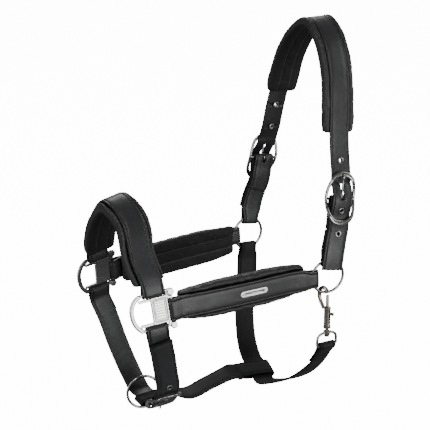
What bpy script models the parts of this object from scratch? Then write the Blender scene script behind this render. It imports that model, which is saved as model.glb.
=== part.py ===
"""Padded leather headcollar for a horse, as separate named parts.

Sizes are in millimetres and are turned into metres when a mesh is made. Points are first given from
the middle between the two cheek rings, and every mesh is then moved so that the origin lies on the
underside of the crown pad, at the poll, where the headcollar hangs.
X runs from the nose to the back of the head, Y from the horse's left (near, -Y) to its right (far, +Y).
"""

import math

import bmesh
import bpy
import numpy as np

# ---------------------------------------------------------------- driving dimensions
MM = 0.001
NEAR = -1
FAR = 1
SIDES = {"near": NEAR, "far": FAR}

STRAP_W = 26.0
LAYER = 2.4
CROWN_T = 2.6
SEWN_GAP = 0.4
GAP = 0.35
FOLD_BACK = 34.0
FOLD_BLEND = 14.0
TAIL_LIFT = 5.8

RING_R = 19.4
RING_WIRE = 1.75
RING_Y = 88.5
RING_TURN = {NEAR: -8.0, FAR: 0.0}
RING_FOLD_W = 20.5
RING_TAPER = 16.0
RING_LEAN = 0.14

BUCKLE_BAR_C = {NEAR: (16.8, 84.6, 89.8), FAR: (18.6, 84.5, 95.5)}
BUCKLE_HALF_L = 27.8
BUCKLE_HALF_W = 18.6
BUCKLE_WIRE = 1.5
BUCKLE_SIDE_BAND = 1.9
BUCKLE_END_BAND = 3.3
BUCKLE_BAR = 1.6
BUCKLE_ARCH = 4.5
TONGUE_R = 1.25
TONGUE_SLOT = 4.2
HOLE_PITCH = 28.0
TONGUE_HOLE = 15.5
EYELET_GAP = 0.45
HOLES_FROM_BAR = {
    NEAR: (TONGUE_HOLE + HOLE_PITCH, TONGUE_HOLE - HOLE_PITCH, TONGUE_HOLE - 2 * HOLE_PITCH),
    FAR: (TONGUE_HOLE + HOLE_PITCH, TONGUE_HOLE + 2 * HOLE_PITCH, TONGUE_HOLE - HOLE_PITCH),
}

CROWN_TOP = 281.0
CROWN_X = 38.0
CROWN_PAD_W = 41.0
NOSE_PAD_W = 39.0
CHEEK_PAD_W = 42.0
PAD_FOAM = 5.0
PAD_SKIN = 1.2
ROLL_RISE = 3.6
ROLL_RISE_DOUBLED = 5.8
UNDERCUT = 3.4

PLATE_NEAR = (-96.0, -80.0, -4.0)
PLATE_L = 34.0
PLATE_W = 6.8
PLATE_T = 0.9
PIN_OUT = 13.4

FITTING_C = (-210.3, 71.0, -8.9)
FITTING_BAR = 1.7
FITTING_TOP = 23.4
FITTING_BOTTOM = -17.4
FITTING_REAR = 16.8
NOSE_FOLD_U = -2.7
CHIN_FOLD_U = -4.5
ARC_TOP_U = -18.5
ARC_LOW_U = -20.5

CHIN_HOLES = (15.0, 44.0)
CHIN_BAR = (-183.0, -28.0, -134.0)
LEAD_RING_C = (-182.0, 22.5, -147.0)
LEAD_RING_TURN = -10.0
CHIN_CROSS = (-182.0, 5.5, -148.1)
CHIN_RUN = (-3.5, 32.0, 5.0)
THROAT_CROSS = (-24.8, 20.0, -150.6)
THROAT_RUN = (4.0, 26.0, 8.5)
JAW_W = 24.0
JAW_FRONT_W = 17.0
JAW_BACK = 22.0
LOOP_STRAIGHT = 27.5

SNAP_EYE_W = 22.0
SNAP_TURN = -70.0
SNAP_REACH = 6.3
SNAP_FORWARD = 5.0
SNAP_BAR_DROP = 64.0
SNAP_EYE_TOP = 48.0
SNAP_EYE_WIRE = 1.7
BARREL_TOP = 17.0
BARREL_FLOOR = 41.0
BARREL_R = 4.4
BORE_R = 2.6
HOOK_WIRE = 2.2
BOLT_R = 2.1

DOUBLED_TOP = -(LAYER + SEWN_GAP / 2) - GAP - 1.6

POLL = np.array([CROWN_X, 0.0, CROWN_TOP - CROWN_T / 2 - GAP - PAD_SKIN - PAD_FOAM - 2 * GAP - PAD_SKIN])


# ---------------------------------------------------------------- materials
def material(name, colour, roughness, metallic):
    made = bpy.data.materials.new(name)
    made.use_nodes = True
    shader = made.node_tree.nodes["Principled BSDF"]
    shader.inputs["Base Color"].default_value = (*colour, 1.0)
    shader.inputs["Roughness"].default_value = roughness
    shader.inputs["Metallic"].default_value = metallic
    made.diffuse_color = (*colour, 1.0)
    return made


def make_materials():
    return {
        "strap": material("strap_leather", (0.030, 0.031, 0.033), 0.42, 0.0),
        "pad": material("pad_leather", (0.022, 0.023, 0.024), 0.50, 0.0),
        "lining": material("soft_lining", (0.012, 0.012, 0.013), 0.75, 0.0),
        "foam": material("pad_foam", (0.10, 0.10, 0.10), 0.95, 0.0),
        "nickel": material("polished_nickel", (0.62, 0.61, 0.58), 0.14, 1.0),
        "cast": material("satin_cast_nickel", (0.72, 0.71, 0.68), 0.34, 1.0),
        "steel": material("spring_steel", (0.45, 0.45, 0.45), 0.30, 1.0),
    }


# ---------------------------------------------------------------- vectors and routes
def vec(*values):
    return np.array(values, dtype=float)


def unit(value):
    return value / np.linalg.norm(value)


def square_to(value, axis):
    """The part of value that is at right angles to axis, as a unit vector."""
    return unit(value - np.dot(value, axis) * axis)


class Route:
    """A smooth line through points, with a width direction that is blended from hints."""

    def __init__(self, points, hints, places=None, steps=16):
        points = [np.array(p, dtype=float) for p in points]
        ends = [2 * points[0] - points[1], *points, 2 * points[-1] - points[-2]]
        line = []
        for i in range(len(points) - 1):
            p0, p1, p2, p3 = ends[i : i + 4]
            for j in range(steps):
                line.append(catmull(p0, p1, p2, p3, j / steps))
        line.append(points[-1])
        self.line = np.array(line)
        gaps = np.linalg.norm(np.diff(self.line, axis=0), axis=1)
        self.at_point = np.concatenate([[0.0], np.cumsum(gaps)])
        self.length = float(self.at_point[-1])
        hints = [np.array(h, dtype=float) for h in hints]
        if len(hints) == 1:
            hints = hints * 2
        if places is None:
            where = np.linspace(0.0, self.length, len(hints))
        else:
            where = np.array([self.nearest(place) for place in places])
        self.hints = (where, np.array(hints))

    def point(self, s):
        if s <= 0.0:
            return self.line[0] + s * self.tangent(0.0)
        if s >= self.length:
            return self.line[-1] + (s - self.length) * self.tangent(self.length)
        return np.array([np.interp(s, self.at_point, self.line[:, k]) for k in range(3)])

    def tangent(self, s):
        s = min(max(s, 0.0), self.length)
        low = max(s - 1.5, 0.0)
        high = min(s + 1.5, self.length)
        ends = [
            np.array([np.interp(v, self.at_point, self.line[:, k]) for k in range(3)])
            for v in (low, high)
        ]
        return unit(ends[1] - ends[0])

    def frame(self, s):
        """(point, tangent, width direction, outward normal) at s."""
        tangent = self.tangent(s)
        hint = np.array([np.interp(s, self.hints[0], self.hints[1][:, k]) for k in range(3)])
        width = square_to(hint, tangent)
        return self.point(s), tangent, width, np.cross(width, tangent)

    def lift(self, s, h):
        point, _, _, normal = self.frame(s)
        return point + normal * h

    def nearest(self, target):
        distances = np.linalg.norm(self.line - np.array(target, dtype=float), axis=1)
        return float(self.at_point[int(distances.argmin())])


def catmull(p0, p1, p2, p3, t):
    """Centripetal Catmull-Rom, so that uneven spacing makes no loops."""
    knots = [0.0]
    for a, b in ((p0, p1), (p1, p2), (p2, p3)):
        knots.append(knots[-1] + max(np.linalg.norm(b - a), 1e-6) ** 0.5)
    u = knots[1] + (knots[2] - knots[1]) * t
    a1 = blend(p0, p1, knots[0], knots[1], u)
    a2 = blend(p1, p2, knots[1], knots[2], u)
    a3 = blend(p2, p3, knots[2], knots[3], u)
    b1 = blend(a1, a2, knots[0], knots[2], u)
    b2 = blend(a2, a3, knots[1], knots[3], u)
    return blend(b1, b2, knots[1], knots[2], u)


def blend(a, b, start, end, u):
    return a * (end - u) / (end - start) + b * (u - start) / (end - start)


def spread(start, end, step):
    count = max(2, int(math.ceil(abs(end - start) / step)) + 1)
    return [float(v) for v in np.linspace(start, end, count)]


# ---------------------------------------------------------------- meshes
def to_object(name, points, faces, look, origin=None):
    """A closed mesh object, moved to the poll; origin is the joint axis point of a moving piece."""
    base = np.zeros(3) if origin is None else np.array(origin, dtype=float) - POLL
    mesh = bpy.data.meshes.new(name)
    moved = (np.array(points) - POLL - base) * MM
    mesh.from_pydata([tuple(p) for p in moved], [], faces)
    tidy = bmesh.new()
    tidy.from_mesh(mesh)
    bmesh.ops.remove_doubles(tidy, verts=tidy.verts, dist=0.001 * MM)
    bmesh.ops.recalc_face_normals(tidy, faces=tidy.faces)
    tidy.to_mesh(mesh)
    tidy.free()
    mesh.materials.append(look)
    mesh.shade_smooth()
    mesh.set_sharp_from_angle(angle=math.radians(35))
    made = bpy.data.objects.new(name, mesh)
    made.location = base * MM
    bpy.context.collection.objects.link(made)
    return made


def loft(rings, closed=False):
    """Points and faces through rings of equally many points, capped unless the rings close up."""
    size = len(rings[0])
    points = [p for ring in rings for p in ring]
    faces = []
    count = len(rings)
    for i in range(count if closed else count - 1):
        a = i * size
        b = ((i + 1) % count) * size
        for j in range(size):
            k = (j + 1) % size
            faces.append((a + j, a + k, b + k, b + j))
    if not closed:
        faces.append(tuple(range(size - 1, -1, -1)))
        faces.append(tuple(range((count - 1) * size, count * size)))
    return points, faces


def strap_section(width, thick):
    w = width / 2
    t = thick / 2
    return [(-w, -t), (w, -t), (w, t), (-w, t)]


def ribbon(name, places, route, thick, look, width=STRAP_W):
    """A strap of even thickness along places, a list of (s, h) on the route."""
    centres = [route.lift(s, h) for s, h in places]
    rings = []
    for i, (s, _) in enumerate(places):
        before = centres[max(i - 1, 0)]
        after = centres[min(i + 1, len(centres) - 1)]
        tangent = unit(after - before)
        across = square_to(route.frame(s)[2], tangent)
        up = np.cross(across, tangent)
        wide = width(s) if callable(width) else width
        rings.append([centres[i] + across * a + up * b for a, b in strap_section(wide, thick)])
    points, faces = loft(rings)
    return to_object(name, points, faces, look)


def tube(points, radius, sides=8, closed=False, hint=(0.0, 0.0, 1.0)):
    """Rings of points for a round wire along points."""
    points = [np.array(p, dtype=float) for p in points]
    count = len(points)
    across = None
    rings = []
    for i in range(count):
        before = points[(i - 1) % count] if closed or i else points[0]
        after = points[(i + 1) % count] if closed or i < count - 1 else points[-1]
        tangent = unit(after - before)
        across = square_to(np.array(hint, dtype=float) if across is None else across, tangent)
        up = np.cross(across, tangent)
        wide = radius[i] if isinstance(radius, (list, tuple)) else radius
        rings.append(
            [
                points[i]
                + wide * (math.cos(a) * across + math.sin(a) * up)
                for a in (2 * math.pi * j / sides for j in range(sides))
            ]
        )
    return loft(rings, closed)


def helper(name, points, faces, look):
    """A cutter or a piece that a Boolean joins; it isn't a node."""
    made = to_object(name, points, faces, look)
    made.hide_render = True
    made.display_type = "WIRE"
    return made


def boolean(target, tool, operation):
    change = target.modifiers.new(operation.lower() + "_" + tool.name, "BOOLEAN")
    change.operation = operation
    change.solver = "EXACT"
    change.object = tool


def turned(profile, centre, axis, sides, hint=(1.0, 0.0, 0.0)):
    """A closed ring of section profile [(radius, along)] turned about an axis."""
    axis = unit(np.array(axis, dtype=float))
    first = square_to(np.array(hint, dtype=float), axis)
    second = np.cross(axis, first)
    rings = []
    for j in range(sides):
        a = 2 * math.pi * j / sides
        out = math.cos(a) * first + math.sin(a) * second
        rings.append([centre + out * r + axis * z for r, z in profile])
    return loft(rings, closed=True)


def rod(centre, axis, radius, length, sides=12, hint=(1.0, 0.0, 0.0)):
    axis = unit(np.array(axis, dtype=float))
    ends = [centre - axis * length / 2, centre + axis * length / 2]
    return tube(ends, radius, sides, hint=square_to(np.array(hint, dtype=float), axis))


def block(centre, axes, sizes):
    """A box from its centre, three directions and three full sizes."""
    rings = []
    for end in (-0.5, 0.5):
        rings.append(
            [
                centre + axes[0] * sizes[0] * a + axes[1] * sizes[1] * b + axes[2] * sizes[2] * end
                for a, b in ((-0.5, -0.5), (0.5, -0.5), (0.5, 0.5), (-0.5, 0.5))
            ]
        )
    return loft(rings)


# ---------------------------------------------------------------- strap folds
def fold_start(s0, radius, straight, outer, inner, back):
    """(s, h) from the free end of the turned-back layer, round a bar at s0, to the outer layer."""
    middle = (outer + inner) / 2
    lower = [(s, inner) for s in spread(s0 + back, s0 + straight + FOLD_BLEND, 14.0)]
    lower += ease(s0 + straight + FOLD_BLEND, inner, s0 + straight, middle - radius)
    turn = [
        (s0 - radius * math.sin(a), middle - radius * math.cos(a))
        for a in (math.pi * k / 6 for k in range(7))
    ]
    upper = ease(s0 + straight, middle + radius, s0 + straight + FOLD_BLEND, outer)
    if straight <= 0.5:
        return lower[:-1] + turn + upper[1:]
    return lower + turn + upper


def ease(s_from, h_from, s_to, h_to, steps=3):
    out = []
    for k in range(steps + 1):
        t = k / steps
        smooth = t * t * (3 - 2 * t)
        out.append((s_from + (s_to - s_from) * t, h_from + (h_to - h_from) * smooth))
    return out


def mirrored(places, length):
    """The same fold at the other end of a route."""
    return [(length - s, h) for s, h in reversed(places)]


def fold_radius(wire, thick=LAYER):
    return wire + GAP + thick / 2


def doubled_strap(name, route, start, end, look, width=STRAP_W):
    """A strap folded round a bar at both ends, its two ends meeting on the inner side."""
    half = (LAYER + SEWN_GAP) / 2
    middle = route.length / 2
    first = fold_start(start[0], fold_radius(start[1]), start[2], half, -half, middle - start[0] - 0.3)
    last = fold_start(end[0], fold_radius(end[1]), end[2], half, -half, middle - end[0] - 0.3)
    last = mirrored(last, route.length)
    run = [(s, half) for s in spread(first[-1][0], last[0][0], 12.0)][1:-1]
    return ribbon(name, first + run + last, route, LAYER, look, width)


# ---------------------------------------------------------------- the places of the parts
def ring_axes(side):
    turn = math.radians(RING_TURN[side])
    along = vec(math.cos(turn), math.sin(turn), 0.0)
    return vec(0.0, side * RING_Y, 0.0), along, vec(0.0, 0.0, 1.0)


RING_CHORD = math.sqrt(RING_R**2 - (RING_FOLD_W / 2) ** 2) - 0.5
RING_SAGITTA = RING_R - RING_CHORD


def ring_taper(distance):
    """Strap width at a distance from the fold on a ring, where it narrows to fit the ring's curve."""
    t = max(0.0, min(1.0, (distance - 4.0) / (RING_TAPER - 4.0)))
    return RING_FOLD_W + (STRAP_W - RING_FOLD_W) * t * t * (3 - 2 * t)


def buckle_axes(side):
    """(bar centre, up along the strap, width, outward) of a crown buckle."""
    x, y, z = BUCKLE_BAR_C[side]
    centre = vec(x, side * y, z)
    up = unit(vec(0.14, -side * 0.175, 0.975))
    width = square_to(vec(1.0, 0.0, 0.0), up)
    outward = np.cross(width, up) * (-side)
    return centre, up, width, outward


def chin_buckle_axes():
    """The same for the chin buckle, whose strap comes from below."""
    centre = vec(*CHIN_BAR)
    up = unit(vec(0.18, 0.80, -0.57))
    width = square_to(vec(1.0, 0.0, 0.0), up)
    outward = np.cross(up, width)
    if outward[1] > 0:
        outward = -outward
    return centre, up, width, outward


def fitting_axes(side):
    """(centre, along the cheek, up, outward) of a cast side fitting."""
    x, y, z = FITTING_C
    centre = vec(x, side * y, z)
    along = unit(vec(0.984, side * 0.13, 0.12))
    up = square_to(vec(-0.13, -side * 0.10, 0.987), along)
    outward = np.cross(along, up) * (-side)
    return centre, along, up, outward


def fitting_point(side, u, v, h=0.0):
    centre, along, up, outward = fitting_axes(side)
    return centre + along * u + up * v + outward * h


def buckle_point(axes, a, h, w=0.0):
    centre, up, width, outward = axes
    return centre + up * a + outward * h + width * w


def buckle_strap_route(side):
    """Middle surface of the doubled strap from the cheek ring up to the buckle bar."""
    centre, along, up = ring_axes(side)
    axes = buckle_axes(side)
    lean = unit(up + along * RING_LEAN)
    points = [
        centre + lean * RING_CHORD,
        centre + lean * (RING_CHORD + 14.0),
        vec(8.4, side * 87.8, 47.0),
        buckle_point(axes, -30.0, -4.9),
        buckle_point(axes, -20.0, -4.3),
        axes[0],
    ]
    return Route(points, [-side * along, -side * axes[2], -side * axes[2]])


def crown_route():
    """Middle surface of the crown strap, from the near tail over the poll to the far tail."""
    points = []
    for side, tail_end in ((NEAR, 7.0), (FAR, 33.0)):
        axes = buckle_axes(side)
        under = buckle_strap_route(side)
        leg = []
        stop = under.nearest(vec(0.0, side * RING_Y, tail_end)) if tail_end > 20 else -6.0
        for s in spread(stop, under.length - 36.0, 14.0):
            fold = 1.7 * max(0.0, min(1.0, (24.0 - s) / 12.0))
            leg.append(under.lift(s, TAIL_LIFT + fold))
        leg += [
            buckle_point(axes, -BUCKLE_HALF_L, 0.3),
            buckle_point(axes, -20.0, 1.0),
            buckle_point(axes, -9.0, 4.6),
            buckle_point(axes, 0.0, 6.2),
            buckle_point(axes, 9.0, 4.6),
            buckle_point(axes, 20.0, 0.5),
            buckle_point(axes, BUCKLE_HALF_L, 0.3),
            vec(22.8, side * 73.8, 137.0),
            vec(24.5, side * 69.0, 160.0),
            vec(28.0, side * 63.8, 187.0),
            vec(32.5, side * 53.0, 229.0),
            vec(36.5, side * 31.0, 263.5),
        ]
        points.append(leg)
    near, far = points
    line = near + [vec(CROWN_X, 0.0, CROWN_TOP)] + far[::-1]
    middle = vec(1.0, 0.0, -0.05)
    widths = [ring_axes(NEAR)[1], buckle_axes(NEAR)[2], middle, vec(1.0, 0.0, 0.0)]
    widths += [middle, buckle_axes(FAR)[2]]
    places = [near[0], buckle_point(buckle_axes(NEAR), 0.0, 6.2), near[-3], vec(CROWN_X, 0.0, CROWN_TOP)]
    places += [far[-3], buckle_point(buckle_axes(FAR), 0.0, 6.2)]
    return Route(line, widths, places)


def nose_route():
    """Middle surface of the nose strap, from the near fitting over the nose to the far one."""
    points = []
    for side in (NEAR, FAR):
        points.append(
            [
                fitting_point(side, NOSE_FOLD_U, FITTING_TOP),
                fitting_point(side, NOSE_FOLD_U, FITTING_TOP + 12.0),
                vec(-221.5, side * 54.0, 51.0),
                vec(-220.5, side * 33.0, 87.5),
            ]
        )
    top = vec(-225.5, 0.0, 104.5)
    hint = fitting_axes(NEAR)[1]
    tilt = vec(0.97, 0.0, 0.24)
    hints = [hint, vec(0.98, 0.0, 0.2), tilt, vec(0.98, 0.0, 0.2), fitting_axes(FAR)[1]]
    return Route(points[0] + [top] + points[1][::-1], hints)


def cheek_route(side):
    """Middle surface of a cheek strap, from the fitting's rear bar to the cheek ring."""
    centre, along, _ = ring_axes(side)
    lean = unit(vec(0.0, 0.0, -1.0) * 0.05 - along)
    ring_end = centre + lean * RING_CHORD
    points = [
        fitting_point(side, FITTING_REAR, -0.5),
        fitting_point(side, FITTING_REAR + 14.0, -0.5),
        vec(-150.0, side * 77.2, -5.0),
        vec(-95.0, side * 80.6, -3.0),
        vec(-45.0, side * 82.6, -1.0),
        ring_end + lean * 12.0,
        ring_end,
    ]
    up = fitting_axes(side)[2]
    hints = [up * side, vec(0.0, 0.0, side), vec(0.0, 0.0, side)]
    return Route(points, hints)


def chin_short_route():
    """Middle surface of the doubled strap from the near fitting down to the chin buckle bar."""
    axes = chin_buckle_axes()
    points = [
        fitting_point(NEAR, CHIN_FOLD_U, FITTING_BOTTOM),
        fitting_point(NEAR, CHIN_FOLD_U, FITTING_BOTTOM - 12.0),
        vec(-203.5, -66.0, -62.0),
        vec(-195.0, -56.5, -90.0),
        buckle_point(axes, -30.0, -4.9),
        buckle_point(axes, -20.0, -4.3),
        axes[0],
    ]
    return Route(points, [-fitting_axes(NEAR)[1], vec(-1.0, 0.0, -0.15), -axes[2]])


def chin_route():
    """Middle surface of the chin strap's outer layer, from the far fitting to the tail's end."""
    axes = chin_buckle_axes()
    under = chin_short_route()
    start = fitting_point(FAR, CHIN_FOLD_U, FITTING_BOTTOM)
    points = [
        start,
        fitting_point(FAR, CHIN_FOLD_U, FITTING_BOTTOM - 12.0),
        vec(-204.0, 67.0, -62.0),
        vec(-196.0, 55.0, -98.0),
        vec(-188.5, 42.0, -127.5),
    ]
    cross = vec(*CHIN_CROSS)
    run = unit(vec(*CHIN_RUN))
    points += [cross + run * along for along in (22.5, 10.0, -10.5, -13.5)]
    points += [
        buckle_point(axes, 20.0, -1.6),
        buckle_point(axes, 9.0, 4.6),
        buckle_point(axes, 0.0, 6.2),
        buckle_point(axes, -9.0, 4.6),
        buckle_point(axes, -20.0, 1.0),
        buckle_point(axes, -BUCKLE_HALF_L, 0.3),
    ]
    points += [under.lift(s, TAIL_LIFT + 0.3) for s in spread(under.length - 42.0, 26.0, 16.0)]
    points.append(under.lift(14.0, TAIL_LIFT + 1.4))
    widths = [fitting_axes(FAR)[1], vec(1.0, 0.0, 0.1), vec(1.0, 0.0, 0.0), vec(1.0, 0.0, 0.0)]
    places = [start, vec(-204.0, 67.0, -62.0), cross + run * 24.0, cross - run * 11.0]
    widths += [axes[2], axes[2], vec(1.0, 0.0, 0.15), fitting_axes(NEAR)[1]]
    places += [buckle_point(axes, 9.0, 4.6), buckle_point(axes, -20.0, 1.0), under.point(under.length / 2)]
    places.append(points[-1])
    return Route(points, widths, places)


def snap_axes():
    """(point of the ring wire, snap axis point, hook plane direction)"""
    centre, along, _ = ring_axes(NEAR)
    wire = centre - along * SNAP_FORWARD - vec(0.0, 0.0, math.sqrt(RING_R**2 - SNAP_FORWARD**2))
    turn = math.radians(SNAP_TURN)
    reach = vec(math.cos(turn), math.sin(turn), 0.0)
    return wire, wire + reach * SNAP_REACH, reach


def throat_route():
    """Middle surface of the throat strap, from the far cheek ring to the snap's eye."""
    centre, _, up = ring_axes(FAR)
    _, axis_point, _ = snap_axes()
    points = [
        centre - up * RING_CHORD,
        centre - up * (RING_CHORD + 12.0) - vec(0.5, 0.0, 0.0),
        vec(-2.0, 87.5, -60.0),
        vec(-8.0, 81.0, -100.0),
        vec(-15.5, 63.0, -130.5),
    ]
    cross = vec(*THROAT_CROSS)
    run = unit(vec(*THROAT_RUN))
    points += [cross + run * along for along in (25.0, 12.5, -12.5, -21.0)]
    points += [
        vec(-21.5, -12.0, -154.6),
        vec(-8.5, -42.0, -139.0),
        vec(-2.2, -72.0, -111.0),
        axis_point - vec(0.0, 0.0, SNAP_BAR_DROP),
    ]
    return Route(points, [vec(1.0, 0.0, 0.0)])


def jaw_route():
    """Middle surface of the jaw strap, from the chin strap back to the throat strap."""
    front = vec(*CHIN_CROSS)
    front_run = unit(vec(*CHIN_RUN))
    front_way = square_to(vec(1.0, 0.0, 0.0), front_run)
    rear_run = unit(vec(*THROAT_RUN))
    rear_way = square_to(vec(1.0, 0.0, 0.0), rear_run)
    rear = vec(*THROAT_CROSS) + np.cross(rear_run, rear_way) * (LAYER + SEWN_GAP) / 2
    reach = STRAP_W / 2 + 0.4
    points = [
        front - front_way * reach,
        front,
        front + front_way * (reach + 2.0),
        front + front_way * (reach + 14.0),
        vec(-135.0, 1.5, -152.5),
        vec(-105.0, 4.5, -147.5),
        vec(-74.0, 10.5, -144.0),
        rear - rear_way * (reach + 14.0),
        rear - rear_way * (reach + 2.0),
        rear,
        rear + rear_way * reach,
    ]
    places = [points[0], points[3], points[-4], points[-1]]
    return Route(points, [-front_run, -front_run, -rear_run, -rear_run], places)


# ---------------------------------------------------------------- straps
def hole(target, centre, axis, radius=3.0, length=9.0):
    points, faces = rod(centre, axis, radius, length, 8)
    boolean(target, helper("hole_" + target.name, points, faces, target.data.materials[0]), "DIFFERENCE")


def slot(target, centre, axes, sizes):
    points, faces = block(centre, axes, sizes)
    boolean(target, helper("slot_" + target.name, points, faces, target.data.materials[0]), "DIFFERENCE")


def eyelet(centre, axis):
    """A pressed eyelet as a turned spool, with a flange on each face of the strap."""
    face = CROWN_T / 2 + EYELET_GAP
    top = face + 0.5
    section = [(2.0, -top), (3.9, -top), (3.9, -face), (2.6, -face)]
    section += [(r, -z) for r, z in reversed(section)]
    return turned(section, centre, axis, 8)


def surface_near(route, target):
    """(point, outward normal) of the route closest to target."""
    s = route.nearest(target)
    point, _, _, normal = route.frame(s)
    return point, normal


def make_eyelets(name, strap, route, targets, look):
    for number, target in enumerate(targets, 1):
        point, normal = surface_near(route, target)
        hole(strap, point, normal)
        points, faces = eyelet(point, normal)
        to_object(f"{name}_{number}", points, faces, look)


def tongue_slot(strap, axes):
    """The slot through which the tongue passes the strap that lies over the bar."""
    slot(strap, buckle_point(axes, 7.5, 5.0), (axes[1], axes[2], axes[3]), (17.0, TONGUE_SLOT, 12.0))


def fold_slot(strap, axes):
    """The slot in a fold, where the tongue's own loop turns round the bar."""
    slot(strap, axes[0], (axes[1], axes[2], axes[3]), (11.0, TONGUE_SLOT, 13.0))


def make_crown_strap(looks):
    route = crown_route()
    places = [(s, 0.0) for s in spread(0.0, route.length, 7.0)]
    strap = ribbon("crown_strap", places, route, CROWN_T, looks["strap"])
    for side, name in ((NEAR, "near"), (FAR, "far")):
        axes = buckle_axes(side)
        tongue_slot(strap, axes)
        targets = [buckle_point(axes, a, 2.0) for a in HOLES_FROM_BAR[side]]
        make_eyelets(f"crown_eyelet_{name}", strap, route, targets, looks["nickel"])
    return route


def band(path, axes):
    """The frame's flattened oval section along its path, widest at the two ends."""
    rings = []
    count = len(path)
    for i in range(count):
        tangent = unit(path[(i + 1) % count] - path[i - 1])
        out = unit(np.cross(axes[3], tangent))
        up = np.cross(tangent, out)
        reach = abs(np.dot(path[i] - axes[0], axes[1])) / BUCKLE_HALF_L
        wide = BUCKLE_SIDE_BAND + (BUCKLE_END_BAND - BUCKLE_SIDE_BAND) * max(0.0, reach) ** 4
        rings.append(
            [
                path[i] + wide * math.cos(a) * out + BUCKLE_WIRE * math.sin(a) * up
                for a in (2 * math.pi * j / 8 for j in range(8))
            ]
        )
    return loft(rings, closed=True)


def make_buckle(name, axes, look):
    """Oval frame, bowed at its ends, with its centre bar joined on."""
    path = []
    for k in range(28):
        a = 2 * math.pi * k / 28
        c, s = math.cos(a), math.sin(a)
        w = BUCKLE_HALF_W * math.copysign(abs(c) ** 0.84, c)
        along = BUCKLE_HALF_L * math.copysign(abs(s) ** 0.84, s)
        lift = BUCKLE_ARCH * min(1.0, abs(along) / 20.0) ** 1.5
        path.append(buckle_point(axes, along, lift, w))
    points, faces = band(path, axes)
    frame = to_object(name, points, faces, look)
    points, faces = rod(axes[0], axes[2], BUCKLE_BAR, 2 * BUCKLE_HALF_W, 10, axes[3])
    boolean(frame, helper("bar_" + name, points, faces, look), "UNION")
    return frame


def make_tongue(name, axes, look):
    """A wire tongue turned round the bar, resting on the frame's far end."""
    turn = BUCKLE_BAR + 0.3 + TONGUE_R
    path = []
    for k in range(9):
        a = math.radians(-50.0 - k * 26.0)
        path.append(buckle_point(axes, turn * math.cos(a), turn * math.sin(a)))
    rest = BUCKLE_ARCH + BUCKLE_WIRE + GAP + TONGUE_R
    path.append(buckle_point(axes, 9.0, 4.5))
    path.append(buckle_point(axes, 20.0, 6.2))
    path.append(buckle_point(axes, BUCKLE_HALF_L - 3.5, rest))
    path.append(buckle_point(axes, BUCKLE_HALF_L + 1.0, rest))
    radius = [TONGUE_R] * (len(path) - 2) + [TONGUE_R * 0.9, TONGUE_R * 0.8]
    points, faces = tube(path, radius, 6, hint=axes[2])
    return to_object(name, points, faces, look, origin=axes[0])


def make_buckle_strap(name, side, looks):
    route = buckle_strap_route(side)
    strap = doubled_strap(
        name, route, (0.0, RING_WIRE, RING_SAGITTA), (0.0, BUCKLE_BAR, 0.0), looks["strap"], ring_taper
    )
    fold_slot(strap, buckle_axes(side))
    return strap


def ring_mesh(centre, along, up, radius):
    path = [
        centre + radius * (math.cos(a) * along + math.sin(a) * up)
        for a in (2 * math.pi * k / 26 for k in range(26))
    ]
    return tube(path, RING_WIRE, closed=True, hint=np.cross(along, up))


def make_cheek_ring(name, side, looks):
    centre, along, up = ring_axes(side)
    points, faces = ring_mesh(centre, along, up, RING_R)
    return to_object(name, points, faces, looks["nickel"])


# ---------------------------------------------------------------- pads
def pad_shapes(half, top, full_rise):
    """Outlines (across, height) of the cover, the foam and the lining of a pad at one place."""
    inner = STRAP_W / 2 + 0.5
    zone = half - inner
    rise = full_rise * min(1.0, zone / 6.0)
    skin = min(PAD_SKIN, 0.35 * zone)
    side = top - PAD_SKIN - 2.6
    bed = top - PAD_SKIN - GAP - PAD_FOAM
    low = bed - GAP - PAD_SKIN
    outer = [
        (half, side), (half, top + 0.2 * rise), (half - 0.3 * zone, top + 0.9 * rise),
        (half - 0.6 * zone, top + rise), (inner, top),
    ]
    inside = [
        (inner - 0.5 * skin, top - PAD_SKIN), (half - 0.6 * zone, top + rise - 1.5 * PAD_SKIN),
        (half - skin, top + 0.1 * rise), (half - skin, side),
    ]
    cover = both_sides(outer) + both_sides(inside[::-1])[::-1]
    gap = skin + 0.5
    foam = both_sides(
        [
            (half - gap - UNDERCUT, bed), (half - gap, side - GAP), (half - gap, top - 0.6),
            (half - 0.6 * zone, top - 0.4), (inner - 1.0, top - PAD_SKIN - 0.6),
        ]
    )
    shell = [
        (half - skin, side - GAP), (half, side - GAP), (half - 0.4 * UNDERCUT, low + 1.6),
        (half - UNDERCUT, low), (7.5, low), (6.0, low + 0.5),
    ]
    bowl = [(half - skin - UNDERCUT, low + PAD_SKIN)]
    lining = shell + [(-a, h) for a, h in reversed(shell)] + [(-a, h) for a, h in bowl] + bowl
    return cover, foam, lining


def both_sides(points):
    """The points, then their mirror images in reverse."""
    return points + [(-a, h) for a, h in reversed(points)]


def sweep_shape(name, route, stops, shape, look):
    rings = []
    for s, half in stops:
        point, _, width, normal = route.frame(s)
        rings.append([point + width * a + normal * h for a, h in shape(half)])
    points, faces = loft(rings)
    return to_object(name, points, faces, look)


def make_pad(name, route, start, end, half_at, top, rise, looks, step=16.0):
    """Leather cover, foam core and soft lining of one pad under a strap."""
    stops = [(s, half_at(s)) for s in spread(start, end, step)]
    inside = [(min(max(s, start + 1.5), end - 1.5), half) for s, half in stops]
    for index, (layer, where, look) in enumerate(
        (("cover", stops, "pad"), ("foam", inside, "foam"), ("lining", stops, "lining"))
    ):
        sweep_shape(
            f"{name}_pad_{layer}", route, where, lambda half: pad_shapes(half, top, rise)[index], looks[look]
        )


def soft_ends(start, end, full, ends, run):
    """Half width that narrows towards both ends of a pad."""

    def half_at(s):
        t = min(1.0, min(s - start, end - s) / run)
        t = max(0.0, t)
        return (ends + (full - ends) * math.sin(t * math.pi / 2)) / 2

    return half_at


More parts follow.
